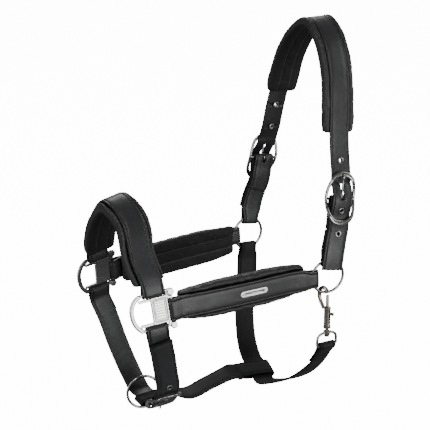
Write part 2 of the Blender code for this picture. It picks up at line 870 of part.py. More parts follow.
# ---------------------------------------------------------------- cheeks, nose and fittings
def make_cheek(name, side, looks):
    route = cheek_route(side)
    start = (0.0, FITTING_BAR, 0.0)
    end = (0.0, RING_WIRE, RING_SAGITTA)
    strap = doubled_strap(
        f"cheek_strap_{name}", route, start, end, looks["strap"], lambda s: ring_taper(route.length - s)
    )
    first, last = 9.0, route.length - 12.0
    half_at = soft_ends(first, last, CHEEK_PAD_W, 33.0, 60.0)
    make_pad(f"cheek_{name}", route, first, last, half_at, DOUBLED_TOP, ROLL_RISE_DOUBLED, looks)
    return route, strap


def make_name_plate(route, strap, looks):
    """A small riveted plate on the near cheek strap; it carries no text."""
    s = route.nearest(vec(*PLATE_NEAR))
    point, tangent, width, normal = route.frame(s)
    face = LAYER + SEWN_GAP / 2
    thick = PLATE_T
    centre = point + normal * (face + 0.3 + thick / 2)
    half = PLATE_L / 2
    radius = PLATE_W / 2
    rim = []
    for sign in (1, -1):
        for k in range(7):
            a = math.pi * k / 6 - math.pi / 2
            rim.append((sign * (half - radius + radius * math.cos(a)), sign * radius * math.sin(a)))
    rings = [
        [centre + tangent * u + width * v + normal * h for u, v in rim] for h in (-thick / 2, thick / 2)
    ]
    points, faces = loft(rings)
    plate = to_object("name_plate", points, faces, looks["cast"])
    for number, sign in enumerate((1, -1), 1):
        place = centre + tangent * sign * PIN_OUT
        hole(plate, place, normal, 1.0, 6.0)
        hole(strap, point + tangent * sign * PIN_OUT + normal * 1.4, normal, 1.0, 2.7)
        head = thick / 2 + 0.3
        section = [(0.65, -2.2), (0.65, head), (1.5, head), (1.1, head + 0.6)]
        rings = []
        for r, z in [(0.01, -2.2), *section, (0.01, head + 0.8)]:
            rings.append(
                [
                    place + normal * z + r * (math.cos(a) * tangent + math.sin(a) * width)
                    for a in (2 * math.pi * j / 10 for j in range(10))
                ]
            )
        points, faces = loft(rings)
        to_object(f"name_plate_pin_{number}", points, faces, looks["cast"])


def make_fitting(name, side, looks):
    """Cast side fitting: a plate with a slot above, below and behind it, and a D-shaped front."""
    look = looks["cast"]
    centre, along, up, outward = fitting_axes(side)
    axes = (along, up, outward)

    def place(u, v, h=0.0):
        return fitting_point(side, u, v, h)

    points, faces = block(place(2.4, 3.0, 0.5), axes, (19.2, 31.0, 3.6))
    body = to_object(name, points, faces, look)

    def add(label, mesh):
        boolean(body, helper(f"{label}_{name}", *mesh, look), "UNION")

    add("rail_top", block(place(-13.0, 16.9, 0.4), axes, (16.0, 3.0, 3.0)))
    add("rail_low", block(place(-13.5, -11.0, 0.4), axes, (17.0, 3.0, 3.0)))
    add("web_top", block(place(13.6, 17.6, 0.3), axes, (5.6, 8.0, 2.8)))
    add("web_low", block(place(12.6, -15.9, 0.3), axes, (6.2, 3.4, 2.8)))
    add("web_mid", block(place(10.7, -13.4, 0.35), axes, (2.2, 5.0, 2.6)))
    arc = [
        (ARC_TOP_U, FITTING_TOP - 0.2), (-23.6, 20.4), (-27.8, 15.4), (-30.0, 9.4), (-30.4, 3.0),
        (-29.4, -3.4), (-27.2, -9.4), (-23.8, -14.2), (ARC_LOW_U, FITTING_BOTTOM),
    ]
    rings = []
    for i, (u, v) in enumerate(arc):
        ahead = vec(*arc[min(i + 1, len(arc) - 1)])
        behind = vec(*arc[max(i - 1, 0)])
        run = unit(ahead - behind)
        out = (-run[1], run[0])
        section = [(-2.5, -1.0), (-1.8, -1.7), (1.8, -1.7), (2.5, -1.0)]
        section += [(2.5, 0.8), (1.4, 2.1), (-1.4, 2.1), (-2.5, 0.8)]
        rings.append([place(u + out[0] * a, v + out[1] * a, h) for a, h in section])
    add("arc", loft(rings))
    add("bar_top", rod(place(-0.9, FITTING_TOP), along, FITTING_BAR, 36.0, 10, up))
    add("bar_low", rod(place(-2.4, FITTING_BOTTOM), along, FITTING_BAR, 36.0, 10, up))
    add("bar_rear", rod(place(FITTING_REAR, 1.5), up, FITTING_BAR, 38.0, 10, along))
    add("ear_top", rod(place(FITTING_REAR, 20.6, 0.2), outward, 4.2, 4.6, 14, up))
    add("ear_low", rod(place(15.6, -18.2, 0.2), outward, 4.0, 4.6, 14, up))
    return body


def make_nose(looks):
    route = nose_route()
    ends = (0.0, FITTING_BAR, 0.0)
    doubled_strap("nose_strap", route, ends, ends, looks["strap"])
    first, last = 11.0, route.length - 11.0
    half_at = soft_ends(first, last, NOSE_PAD_W, 36.0, 30.0)
    make_pad("nose", route, first, last, half_at, DOUBLED_TOP, ROLL_RISE_DOUBLED, looks)
    return route


def make_crown_pad(route, looks):
    first = route.nearest(vec(24.5, -69.0, 161.0))
    last = route.nearest(vec(27.5, 63.5, 183.0))
    half_at = soft_ends(first, last, CROWN_PAD_W, 37.0, 14.0)
    make_pad("crown", route, first, last, half_at, -CROWN_T / 2 - GAP, ROLL_RISE, looks)


# ---------------------------------------------------------------- chin, jaw and throat
def folded_single(name, route, start, end, look, width=STRAP_W, thick=LAYER, back=FOLD_BACK):
    """A single strap whose ends are turned round (position, wire, straight) and sewn back."""
    half = (thick + SEWN_GAP) / 2
    first = [(0.0, 0.0)]
    if start:
        first = fold_start(start[0], fold_radius(start[1], thick), start[2], half, -half, start[2] + back)
    last = [(route.length, 0.0)]
    if end:
        last = fold_start(end[0], fold_radius(end[1], thick), end[2], half, -half, end[2] + back)
        last = mirrored(last, route.length)
    run = []
    for s in spread(first[-1][0], last[0][0], 8.0)[1:-1]:
        lift = half if start else 0.0
        if not end:
            lift = half * max(0.0, min(1.0, (110.0 - s) / 50.0))
        run.append((s, lift))
    return ribbon(name, first + run + last, route, thick, look, width)


def make_chin(looks):
    axes = chin_buckle_axes()
    short = chin_short_route()
    strap = doubled_strap(
        "chin_buckle_strap", short, (0.0, FITTING_BAR, 0.0), (0.0, BUCKLE_BAR, 0.0), looks["strap"]
    )
    fold_slot(strap, axes)
    route = chin_route()
    long_strap = folded_single("chin_strap", route, (0.0, FITTING_BAR, 0.0), None, looks["strap"])
    tongue_slot(long_strap, axes)
    targets = [buckle_point(axes, -a, 3.0) for a in CHIN_HOLES]
    make_eyelets("chin_eyelet", long_strap, route, targets, looks["nickel"])
    make_buckle("chin_buckle_frame", axes, looks["nickel"])
    make_tongue("chin_buckle_tongue", axes, looks["nickel"])


def make_lead_ring(looks):
    turn = math.radians(LEAD_RING_TURN)
    along = vec(math.cos(turn), math.sin(turn), 0.0)
    centre = vec(*LEAD_RING_C)
    points, faces = ring_mesh(centre, along, vec(0.0, 0.0, 1.0), RING_R + 0.3)
    return to_object("lead_ring", points, faces, looks["nickel"], origin=centre)


def make_jaw(looks):
    route = jaw_route()
    ends = (0.0, CROWN_T / 2, LOOP_STRAIGHT)

    def width(s):
        t = max(0.0, min(1.0, (s - LOOP_STRAIGHT - 5.0) / 14.0))
        return JAW_FRONT_W + (JAW_W - JAW_FRONT_W) * t

    folded_single("jaw_strap", route, ends, ends, looks["strap"], width, back=JAW_BACK)


def make_throat(looks):
    route = throat_route()

    def width(s):
        t = max(0.0, min(1.0, (s - route.length + 60.0) / 30.0))
        return ring_taper(s) + (SNAP_EYE_W - 1.5 - STRAP_W) * t

    folded_single(
        "throat_strap", route, (0.0, RING_WIRE, RING_SAGITTA), (0.0, SNAP_EYE_WIRE, 0.0), looks["strap"], width
    )


# ---------------------------------------------------------------- bolt snap
def snap_point(p, drop):
    """A point in the hook's plane, p out from the snap's axis and drop below the ring's wire."""
    _, axis, reach = snap_axes()
    return axis + reach * p - vec(0.0, 0.0, drop)


def make_snap(looks):
    look = looks["nickel"]
    _, _, reach = snap_axes()
    down = vec(0.0, 0.0, -1.0)
    half = SNAP_EYE_W / 2 + 1.9
    path = []
    for x, drop in (
        (-half, 62.0), (-half, 56.0), (-half + 1.6, 51.5), (-half + 6.0, 49.0), (0.0, SNAP_EYE_TOP),
        (half - 6.0, 49.0), (half - 1.6, 51.5), (half, 56.0), (half, 62.0), (half - 1.2, 63.7),
        (half - 3.0, SNAP_BAR_DROP), (-half + 3.0, SNAP_BAR_DROP), (-half + 1.2, 63.7),
    ):
        path.append(snap_point(0.0, drop) + vec(x, 0.0, 0.0))
    points, faces = tube(path, SNAP_EYE_WIRE, closed=True, hint=(0.0, 1.0, 0.0))
    eye = to_object("snap_eye", points, faces, look)
    collar = snap_point(0.0, SNAP_EYE_TOP + 0.2)
    points, faces = rod(collar, down, 4.0, 5.0, 14)
    boolean(eye, helper("collar_eye", points, faces, look), "UNION")
    hole(eye, collar, down, 2.0, 12.0)

    profile = [(0.0, BARREL_FLOOR), (BORE_R, BARREL_FLOOR), (BORE_R, BARREL_TOP), (BARREL_R, BARREL_TOP)]
    profile += [(BARREL_R, BARREL_FLOOR + 2.0), (1.6, BARREL_FLOOR + 2.0)]
    profile += [(1.6, 51.1), (3.0, 51.1), (3.0, 53.1), (0.0, 53.1)]
    points, faces = turned(profile, snap_point(0.0, 0.0), down, 14)
    body = to_object("snap_hook", points, faces, look, origin=snap_point(0.0, 30.0))
    hook = [
        (-4.7, 20.0), (-7.4, 15.6), (-10.6, 9.6), (-11.7, 3.0), (-10.2, -3.0), (-6.4, -5.6),
        (-2.4, -4.4), (0.0, -0.6),
    ]
    points, faces = tube([snap_point(p, d) for p, d in hook], HOOK_WIRE, hint=(1.0, 0.0, 0.0))
    boolean(body, helper("hook_wire", points, faces, look), "UNION")
    side = np.cross(reach, down)
    slot(body, snap_point(4.0, 28.5), (reach, side, down), (6.0, 3.0, 14.0))

    points, faces = rod(snap_point(0.0, 15.3), down, BOLT_R, 26.4, 12)
    bolt = to_object("snap_bolt", points, faces, look, origin=snap_point(0.0, 15.0))
    points, faces = block(snap_point(4.6, 24.0), (reach, side, down), (8.6, 2.2, 4.0))
    boolean(bolt, helper("bolt_tab", points, faces, look), "UNION")

    coil = []
    turns = 5
    steps = 8
    for k in range(turns * steps + 1):
        a = 2 * math.pi * k / steps
        level = 29.2 + (40.2 - 29.2) * k / (turns * steps)
        coil.append(
            snap_point(0.0, level) + 1.75 * (math.cos(a) * reach + math.sin(a) * side)
        )
    points, faces = tube(coil, 0.35, 4)
    to_object("snap_spring", points, faces, looks["steel"])


# ---------------------------------------------------------------- the whole headcollar
def clear_scene():
    for old in list(bpy.data.objects):
        bpy.data.objects.remove(old, do_unlink=True)


def main():
    clear_scene()
    looks = make_materials()
    crown = make_crown_strap(looks)
    make_crown_pad(crown, looks)
    for name, side in SIDES.items():
        axes = buckle_axes(side)
        make_buckle(f"buckle_frame_{name}", axes, looks["nickel"])
        make_tongue(f"buckle_tongue_{name}", axes, looks["nickel"])
        make_buckle_strap(f"buckle_strap_{name}", side, looks)
        make_cheek_ring(f"cheek_ring_{name}", side, looks)
        make_fitting(f"side_fitting_{name}", side, looks)
        route, strap = make_cheek(name, side, looks)
        if side == NEAR:
            make_name_plate(route, strap, looks)
    make_nose(looks)
    make_chin(looks)
    make_lead_ring(looks)
    make_jaw(looks)
    make_throat(looks)
    make_snap(looks)


main()
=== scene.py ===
"""Looks of the padded leather headcollar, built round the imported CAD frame.

Sizes are in millimetres from the middle between the cheek rings, as in the part's own source, and
every mesh is turned into the frame's metres (origin at the poll) when it is made.
"""

import math

import bmesh
import bpy
import numpy as np
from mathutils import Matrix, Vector


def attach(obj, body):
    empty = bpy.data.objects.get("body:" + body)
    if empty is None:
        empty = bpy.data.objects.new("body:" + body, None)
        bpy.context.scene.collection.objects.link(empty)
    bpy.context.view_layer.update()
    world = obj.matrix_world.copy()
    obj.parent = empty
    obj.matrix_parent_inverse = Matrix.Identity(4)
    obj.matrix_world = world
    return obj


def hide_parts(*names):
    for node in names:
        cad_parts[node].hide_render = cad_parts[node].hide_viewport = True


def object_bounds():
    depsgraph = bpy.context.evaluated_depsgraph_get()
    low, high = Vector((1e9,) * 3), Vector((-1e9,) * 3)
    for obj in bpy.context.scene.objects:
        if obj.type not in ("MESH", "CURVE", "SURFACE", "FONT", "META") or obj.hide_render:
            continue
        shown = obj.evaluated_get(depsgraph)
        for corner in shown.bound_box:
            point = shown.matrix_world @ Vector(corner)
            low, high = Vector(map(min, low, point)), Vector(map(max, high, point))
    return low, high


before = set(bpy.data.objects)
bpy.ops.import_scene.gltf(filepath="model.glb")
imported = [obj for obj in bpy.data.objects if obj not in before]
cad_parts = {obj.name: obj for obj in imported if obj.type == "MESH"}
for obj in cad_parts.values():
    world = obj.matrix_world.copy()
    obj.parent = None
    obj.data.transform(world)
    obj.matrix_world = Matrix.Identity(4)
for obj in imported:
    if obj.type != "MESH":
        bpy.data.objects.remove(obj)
CAD_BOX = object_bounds()

# ---------------------------------------------------------------- dimensions
MM = 0.001
NEAR = -1
FAR = 1

STRAP_W = 26.0
LAYER = 2.4
CROWN_T = 2.6
SEWN_GAP = 0.4
GAP = 0.35
FOLD_BACK = 34.0
FOLD_BLEND = 14.0
TAIL_LIFT = 5.8

RING_R = 19.4
RING_WIRE = 1.75
RING_Y = 88.5
RING_TURN = {NEAR: -8.0, FAR: 0.0}
RING_FOLD_W = 20.5
RING_TAPER = 16.0
RING_LEAN = 0.14

BUCKLE_BAR_C = {NEAR: (16.8, 84.6, 89.8), FAR: (18.6, 84.5, 95.5)}
BUCKLE_HALF_L = 27.8
BUCKLE_HALF_W = 18.6
BUCKLE_WIRE = 1.5
BUCKLE_SIDE_BAND = 1.9
BUCKLE_END_BAND = 3.3
BUCKLE_BAR = 1.6
BUCKLE_ARCH = 4.5
TONGUE_R = 1.25
TONGUE_SLOT = 4.2
HOLE_PITCH = 28.0
TONGUE_HOLE = 15.5
EYELET_GAP = 0.45
HOLES_FROM_BAR = {
    NEAR: (TONGUE_HOLE + HOLE_PITCH, TONGUE_HOLE - HOLE_PITCH, TONGUE_HOLE - 2 * HOLE_PITCH),
    FAR: (TONGUE_HOLE + HOLE_PITCH, TONGUE_HOLE + 2 * HOLE_PITCH, TONGUE_HOLE - HOLE_PITCH),
}

CROWN_TOP = 281.0
CROWN_X = 38.0
CROWN_PAD_W = 41.0
NOSE_PAD_W = 39.0
CHEEK_PAD_W = 42.0
PAD_FOAM = 5.0
PAD_SKIN = 1.2
ROLL_RISE = 3.6
ROLL_RISE_DOUBLED = 5.8
UNDERCUT = 3.4
CHANNEL_HALF = 7.1

PLATE_NEAR = (-96.0, -80.0, -4.0)
PLATE_L = 34.0
PLATE_W = 6.8
PLATE_T = 0.9
PIN_OUT = 13.4

FITTING_C = (-210.3, 71.0, -8.9)
FITTING_BAR = 1.7
FITTING_TOP = 23.4
FITTING_BOTTOM = -17.4
FITTING_REAR = 16.8
NOSE_FOLD_U = -2.7
CHIN_FOLD_U = -4.5
ARC_TOP_U = -18.5
ARC_LOW_U = -20.5

CHIN_HOLES = (15.0, 44.0)
CHIN_BAR = (-183.0, -28.0, -134.0)
LEAD_RING_C = (-182.0, 22.5, -147.0)
LEAD_RING_TURN = -10.0
CHIN_CROSS = (-182.0, 5.5, -148.1)
CHIN_RUN = (-3.5, 32.0, 5.0)
THROAT_CROSS = (-24.8, 20.0, -150.6)
THROAT_RUN = (4.0, 26.0, 8.5)
JAW_W = 24.0
JAW_FRONT_W = 17.0
JAW_BACK = 22.0
LOOP_STRAIGHT = 27.5

SNAP_EYE_W = 22.0
SNAP_TURN = -70.0
SNAP_REACH = 6.3
SNAP_FORWARD = 5.0
SNAP_BAR_DROP = 64.0
SNAP_EYE_TOP = 48.0
SNAP_EYE_WIRE = 1.7
BARREL_TOP = 17.0
BARREL_FLOOR = 41.0
BARREL_R = 4.4
BORE_R = 2.6
HOOK_WIRE = 2.2
BOLT_R = 2.1

DOUBLED_TOP = -(LAYER + SEWN_GAP / 2) - GAP - 1.6

# From the top of a pad's flat cover down to the face of its lining, and down to the welt at its side.
PAD_DEEP = 2 * PAD_SKIN + 2 * GAP + PAD_FOAM
PAD_SIDE = PAD_SKIN + 2.6

# The frame's origin: under the lining at the top of the crown.
POLL = np.array([CROWN_X, 0.0, CROWN_TOP - CROWN_T / 2 - GAP - PAD_DEEP])

SIDES = ((NEAR, "near"), (FAR, "far"))
STEP = 2.4
PAD_STEP = 2.6
PUFF_CAP = 0.7
CAST_VOXEL = 0.42
PANEL_U = 8.0
PANEL_V = 13.6
PANEL_DEEP = 0.55
FLOOR_BELOW = 0.45
FLOOR_REACH = 40.0
FLOOR_GLOW = 14.0
WORLD_LIGHT = 0.30
CAMERA_LENS = 135.0
CAMERA_AZIMUTH = -30.0
CAMERA_RISE = 18.4
CAMERA_PLACE = (-1.0152, -1.5232, 0.37845)


# ---------------------------------------------------------------- vectors and routes
def vec(*values):
    return np.array(values, dtype=float)


def unit(value):
    return value / np.linalg.norm(value)


def square_to(value, axis):
    """The part of value that is at right angles to axis, as a unit vector."""
    return unit(value - np.dot(value, axis) * axis)


def between(s, where, rows):
    """The row at s, from rows that stand at the values in where."""
    return np.array([np.interp(s, where, rows[:, k]) for k in range(3)])


class Route:
    """A smooth line through points, with a width direction that is blended from hints."""

    def __init__(self, points, hints, places=None, steps=16):
        points = [np.array(p, dtype=float) for p in points]
        ends = [2 * points[0] - points[1], *points, 2 * points[-1] - points[-2]]
        line = []
        for i in range(len(points) - 1):
            p0, p1, p2, p3 = ends[i : i + 4]
            for j in range(steps):
                line.append(catmull(p0, p1, p2, p3, j / steps))
        line.append(points[-1])
        self.line = np.array(line)
        gaps = np.linalg.norm(np.diff(self.line, axis=0), axis=1)
        self.at_point = np.concatenate([[0.0], np.cumsum(gaps)])
        self.length = float(self.at_point[-1])
        hints = [np.array(h, dtype=float) for h in hints]
        if len(hints) == 1:
            hints = hints * 2
        if places is None:
            where = np.linspace(0.0, self.length, len(hints))
        else:
            where = np.array([self.nearest(place) for place in places])
        self.hints = (where, np.array(hints))

    def point(self, s):
        if s <= 0.0:
            return self.line[0] + s * self.tangent(0.0)
        if s >= self.length:
            return self.line[-1] + (s - self.length) * self.tangent(self.length)
        return between(s, self.at_point, self.line)

    def tangent(self, s):
        s = min(max(s, 0.0), self.length)
        before = between(max(s - 1.5, 0.0), self.at_point, self.line)
        after = between(min(s + 1.5, self.length), self.at_point, self.line)
        return unit(after - before)

    def frame(self, s):
        """(point, tangent, width direction, outward normal) at s."""
        tangent = self.tangent(s)
        width = square_to(between(s, *self.hints), tangent)
        return self.point(s), tangent, width, np.cross(width, tangent)

    def lift(self, s, h):
        point, _, _, normal = self.frame(s)
        return point + normal * h

    def nearest(self, target):
        distances = np.linalg.norm(self.line - np.array(target, dtype=float), axis=1)
        return float(self.at_point[int(distances.argmin())])


def catmull(p0, p1, p2, p3, t):
    """Centripetal Catmull-Rom, so that uneven spacing makes no loops."""
    knots = [0.0]
    for a, b in ((p0, p1), (p1, p2), (p2, p3)):
        knots.append(knots[-1] + max(np.linalg.norm(b - a), 1e-6) ** 0.5)
    u = knots[1] + (knots[2] - knots[1]) * t
    a1 = blend(p0, p1, knots[0], knots[1], u)
    a2 = blend(p1, p2, knots[1], knots[2], u)
    a3 = blend(p2, p3, knots[2], knots[3], u)
    b1 = blend(a1, a2, knots[0], knots[2], u)
    b2 = blend(a2, a3, knots[1], knots[3], u)
    return blend(b1, b2, knots[1], knots[2], u)


def blend(a, b, start, end, u):
    return a * (end - u) / (end - start) + b * (u - start) / (end - start)


def spread(start, end, step):
    count = max(2, int(math.ceil(abs(end - start) / step)) + 1)
    return [float(v) for v in np.linspace(start, end, count)]


def loft(rings, closed=False):
    """Points and faces through rings of equally many points, capped unless the rings close up."""
    size = len(rings[0])
    points = [p for ring in rings for p in ring]
    faces = []
    count = len(rings)
    for i in range(count if closed else count - 1):
        a = i * size
        b = ((i + 1) % count) * size
        for j in range(size):
            k = (j + 1) % size
            faces.append((a + j, a + k, b + k, b + j))
    if not closed:
        faces.append(tuple(range(size - 1, -1, -1)))
        faces.append(tuple(range((count - 1) * size, count * size)))
    return points, faces


# ---------------------------------------------------------------- the places of the parts
def ring_axes(side):
    turn = math.radians(RING_TURN[side])
    along = vec(math.cos(turn), math.sin(turn), 0.0)
    return vec(0.0, side * RING_Y, 0.0), along, vec(0.0, 0.0, 1.0)


RING_CHORD = math.sqrt(RING_R**2 - (RING_FOLD_W / 2) ** 2) - 0.5
RING_SAGITTA = RING_R - RING_CHORD


def ring_taper(distance):
    """Strap width at a distance from the fold on a ring, where it narrows to fit the ring's curve."""
    t = max(0.0, min(1.0, (distance - 4.0) / (RING_TAPER - 4.0)))
    return RING_FOLD_W + (STRAP_W - RING_FOLD_W) * t * t * (3 - 2 * t)


def buckle_axes(side):
    """(bar centre, up along the strap, width, outward) of a crown buckle."""
    x, y, z = BUCKLE_BAR_C[side]
    centre = vec(x, side * y, z)
    up = unit(vec(0.14, -side * 0.175, 0.975))
    width = square_to(vec(1.0, 0.0, 0.0), up)
    outward = np.cross(width, up) * (-side)
    return centre, up, width, outward


def chin_buckle_axes():
    """The same for the chin buckle, whose strap comes from below."""
    centre = vec(*CHIN_BAR)
    up = unit(vec(0.18, 0.80, -0.57))
    width = square_to(vec(1.0, 0.0, 0.0), up)
    outward = np.cross(up, width)
    if outward[1] > 0:
        outward = -outward
    return centre, up, width, outward


def fitting_axes(side):
    """(centre, along the cheek, up, outward) of a cast side fitting."""
    x, y, z = FITTING_C
    centre = vec(x, side * y, z)
    along = unit(vec(0.984, side * 0.13, 0.12))
    up = square_to(vec(-0.13, -side * 0.10, 0.987), along)
    outward = np.cross(along, up) * (-side)
    return centre, along, up, outward


def fitting_point(side, u, v, h=0.0):
    centre, along, up, outward = fitting_axes(side)
    return centre + along * u + up * v + outward * h


def buckle_point(axes, a, h, w=0.0):
    centre, up, width, outward = axes
    return centre + up * a + outward * h + width * w


def buckle_strap_route(side):
    """Middle surface of the doubled strap from the cheek ring up to the buckle bar."""
    centre, along, up = ring_axes(side)
    axes = buckle_axes(side)
    lean = unit(up + along * RING_LEAN)
    points = [
        centre + lean * RING_CHORD,
        centre + lean * (RING_CHORD + 14.0),
        vec(8.4, side * 87.8, 47.0),
        buckle_point(axes, -30.0, -4.9),
        buckle_point(axes, -20.0, -4.3),
        axes[0],
    ]
    return Route(points, [-side * along, -side * axes[2], -side * axes[2]])


def crown_route():
    """Middle surface of the crown strap, from the near tail over the poll to the far tail."""
    points = []
    for side, tail_end in ((NEAR, 7.0), (FAR, 33.0)):
        axes = buckle_axes(side)
        under = buckle_strap_route(side)
        leg = []
        stop = under.nearest(vec(0.0, side * RING_Y, tail_end)) if tail_end > 20 else -6.0
        for s in spread(stop, under.length - 36.0, 14.0):
            fold = 1.7 * max(0.0, min(1.0, (24.0 - s) / 12.0))
            leg.append(under.lift(s, TAIL_LIFT + fold))
        leg += [
            buckle_point(axes, -BUCKLE_HALF_L, 0.3),
            buckle_point(axes, -20.0, 1.0),
            buckle_point(axes, -9.0, 4.6),
            buckle_point(axes, 0.0, 6.2),
            buckle_point(axes, 9.0, 4.6),
            buckle_point(axes, 20.0, 0.5),
            buckle_point(axes, BUCKLE_HALF_L, 0.3),
            vec(22.8, side * 73.8, 137.0),
            vec(24.5, side * 69.0, 160.0),
            vec(28.0, side * 63.8, 187.0),
            vec(32.5, side * 53.0, 229.0),
            vec(36.5, side * 31.0, 263.5),
        ]
        points.append(leg)
    near, far = points
    line = near + [vec(CROWN_X, 0.0, CROWN_TOP)] + far[::-1]
    middle = vec(1.0, 0.0, -0.05)
    widths = [ring_axes(NEAR)[1], buckle_axes(NEAR)[2], middle, vec(1.0, 0.0, 0.0)]
    widths += [middle, buckle_axes(FAR)[2]]
    places = [near[0], buckle_point(buckle_axes(NEAR), 0.0, 6.2), near[-3], vec(CROWN_X, 0.0, CROWN_TOP)]
    places += [far[-3], buckle_point(buckle_axes(FAR), 0.0, 6.2)]
    return Route(line, widths, places)


def nose_route():
    """Middle surface of the nose strap, from the near fitting over the nose to the far one."""
    points = []
    for side in (NEAR, FAR):
        points.append(
            [
                fitting_point(side, NOSE_FOLD_U, FITTING_TOP),
                fitting_point(side, NOSE_FOLD_U, FITTING_TOP + 12.0),
                vec(-221.5, side * 54.0, 51.0),
                vec(-220.5, side * 33.0, 87.5),
            ]
        )
    top = vec(-225.5, 0.0, 104.5)
    hint = fitting_axes(NEAR)[1]
    tilt = vec(0.97, 0.0, 0.24)
    hints = [hint, vec(0.98, 0.0, 0.2), tilt, vec(0.98, 0.0, 0.2), fitting_axes(FAR)[1]]
    return Route(points[0] + [top] + points[1][::-1], hints)


def cheek_route(side):
    """Middle surface of a cheek strap, from the fitting's rear bar to the cheek ring."""
    centre, along, _ = ring_axes(side)
    lean = unit(vec(0.0, 0.0, -1.0) * 0.05 - along)
    ring_end = centre + lean * RING_CHORD
    points = [
        fitting_point(side, FITTING_REAR, -0.5),
        fitting_point(side, FITTING_REAR + 14.0, -0.5),
        vec(-150.0, side * 77.2, -5.0),
        vec(-95.0, side * 80.6, -3.0),
        vec(-45.0, side * 82.6, -1.0),
        ring_end + lean * 12.0,
        ring_end,
    ]
    up = fitting_axes(side)[2]
    hints = [up * side, vec(0.0, 0.0, side), vec(0.0, 0.0, side)]
    return Route(points, hints)


def chin_short_route():
    """Middle surface of the doubled strap from the near fitting down to the chin buckle bar."""
    axes = chin_buckle_axes()
    points = [
        fitting_point(NEAR, CHIN_FOLD_U, FITTING_BOTTOM),
        fitting_point(NEAR, CHIN_FOLD_U, FITTING_BOTTOM - 12.0),
        vec(-203.5, -66.0, -62.0),
        vec(-195.0, -56.5, -90.0),
        buckle_point(axes, -30.0, -4.9),
        buckle_point(axes, -20.0, -4.3),
        axes[0],
    ]
    return Route(points, [-fitting_axes(NEAR)[1], vec(-1.0, 0.0, -0.15), -axes[2]])


def chin_route():
    """Middle surface of the chin strap's outer layer, from the far fitting to the tail's end."""
    axes = chin_buckle_axes()
    under = chin_short_route()
    start = fitting_point(FAR, CHIN_FOLD_U, FITTING_BOTTOM)
    points = [
        start,
        fitting_point(FAR, CHIN_FOLD_U, FITTING_BOTTOM - 12.0),
        vec(-204.0, 67.0, -62.0),
        vec(-196.0, 55.0, -98.0),
        vec(-188.5, 42.0, -127.5),
    ]
    cross = vec(*CHIN_CROSS)
    run = unit(vec(*CHIN_RUN))
    points += [cross + run * along for along in (22.5, 10.0, -10.5, -13.5)]
    points += [
        buckle_point(axes, 20.0, -1.6),
        buckle_point(axes, 9.0, 4.6),
        buckle_point(axes, 0.0, 6.2),
        buckle_point(axes, -9.0, 4.6),
        buckle_point(axes, -20.0, 1.0),
        buckle_point(axes, -BUCKLE_HALF_L, 0.3),
    ]
    points += [under.lift(s, TAIL_LIFT + 0.3) for s in spread(under.length - 42.0, 26.0, 16.0)]
    points.append(under.lift(14.0, TAIL_LIFT + 1.4))
    widths = [fitting_axes(FAR)[1], vec(1.0, 0.0, 0.1), vec(1.0, 0.0, 0.0), vec(1.0, 0.0, 0.0)]
    places = [start, vec(-204.0, 67.0, -62.0), cross + run * 24.0, cross - run * 11.0]
    widths += [axes[2], axes[2], vec(1.0, 0.0, 0.15), fitting_axes(NEAR)[1]]
    places += [buckle_point(axes, 9.0, 4.6), buckle_point(axes, -20.0, 1.0), under.point(under.length / 2)]
    places.append(points[-1])
    return Route(points, widths, places)


def snap_axes():
    """(point of the ring wire, snap axis point, hook plane direction)"""
    centre, along, _ = ring_axes(NEAR)
    wire = centre - along * SNAP_FORWARD - vec(0.0, 0.0, math.sqrt(RING_R**2 - SNAP_FORWARD**2))
    turn = math.radians(SNAP_TURN)
    reach = vec(math.cos(turn), math.sin(turn), 0.0)
    return wire, wire + reach * SNAP_REACH, reach


def throat_route():
    """Middle surface of the throat strap, from the far cheek ring to the snap's eye."""
    centre, _, up = ring_axes(FAR)
    _, axis_point, _ = snap_axes()
    points = [
        centre - up * RING_CHORD,
        centre - up * (RING_CHORD + 12.0) - vec(0.5, 0.0, 0.0),
        vec(-2.0, 87.5, -60.0),
        vec(-8.0, 81.0, -100.0),
        vec(-15.5, 63.0, -130.5),
    ]
    cross = vec(*THROAT_CROSS)
    run = unit(vec(*THROAT_RUN))
    points += [cross + run * along for along in (25.0, 12.5, -12.5, -21.0)]
    points += [
        vec(-21.5, -12.0, -154.6),
        vec(-8.5, -42.0, -139.0),
        vec(-2.2, -72.0, -111.0),
        axis_point - vec(0.0, 0.0, SNAP_BAR_DROP),
    ]
    return Route(points, [vec(1.0, 0.0, 0.0)])


def jaw_route():
    """Middle surface of the jaw strap, from the chin strap back to the throat strap."""
    front = vec(*CHIN_CROSS)
    front_run = unit(vec(*CHIN_RUN))
    front_way = square_to(vec(1.0, 0.0, 0.0), front_run)
    rear_run = unit(vec(*THROAT_RUN))
    rear_way = square_to(vec(1.0, 0.0, 0.0), rear_run)
    rear = vec(*THROAT_CROSS) + np.cross(rear_run, rear_way) * (LAYER + SEWN_GAP) / 2
    reach = STRAP_W / 2 + 0.4
    points = [
        front - front_way * reach,
        front,
        front + front_way * (reach + 2.0),
        front + front_way * (reach + 14.0),
        vec(-135.0, 1.5, -152.5),
        vec(-105.0, 4.5, -147.5),
        vec(-74.0, 10.5, -144.0),
        rear - rear_way * (reach + 14.0),
        rear - rear_way * (reach + 2.0),
        rear,
        rear + rear_way * reach,
    ]
    places = [points[0], points[3], points[-4], points[-1]]
    return Route(points, [-front_run, -front_run, -rear_run, -rear_run], places)


# ---------------------------------------------------------------- materials
def new_material(name, colour, roughness, metallic=0.0):
    made = bpy.data.materials.new(name)
    made.use_nodes = True
    tree = made.node_tree
    shader = tree.nodes["Principled BSDF"]
    shader.inputs["Base Color"].default_value = (*colour, 1.0)
    shader.inputs["Roughness"].default_value = roughness
    shader.inputs["Metallic"].default_value = metallic
    made.diffuse_color = (*colour, 1.0)
    coords = tree.nodes.new("ShaderNodeTexCoord")
    return made, tree, shader, coords.outputs["Object"]


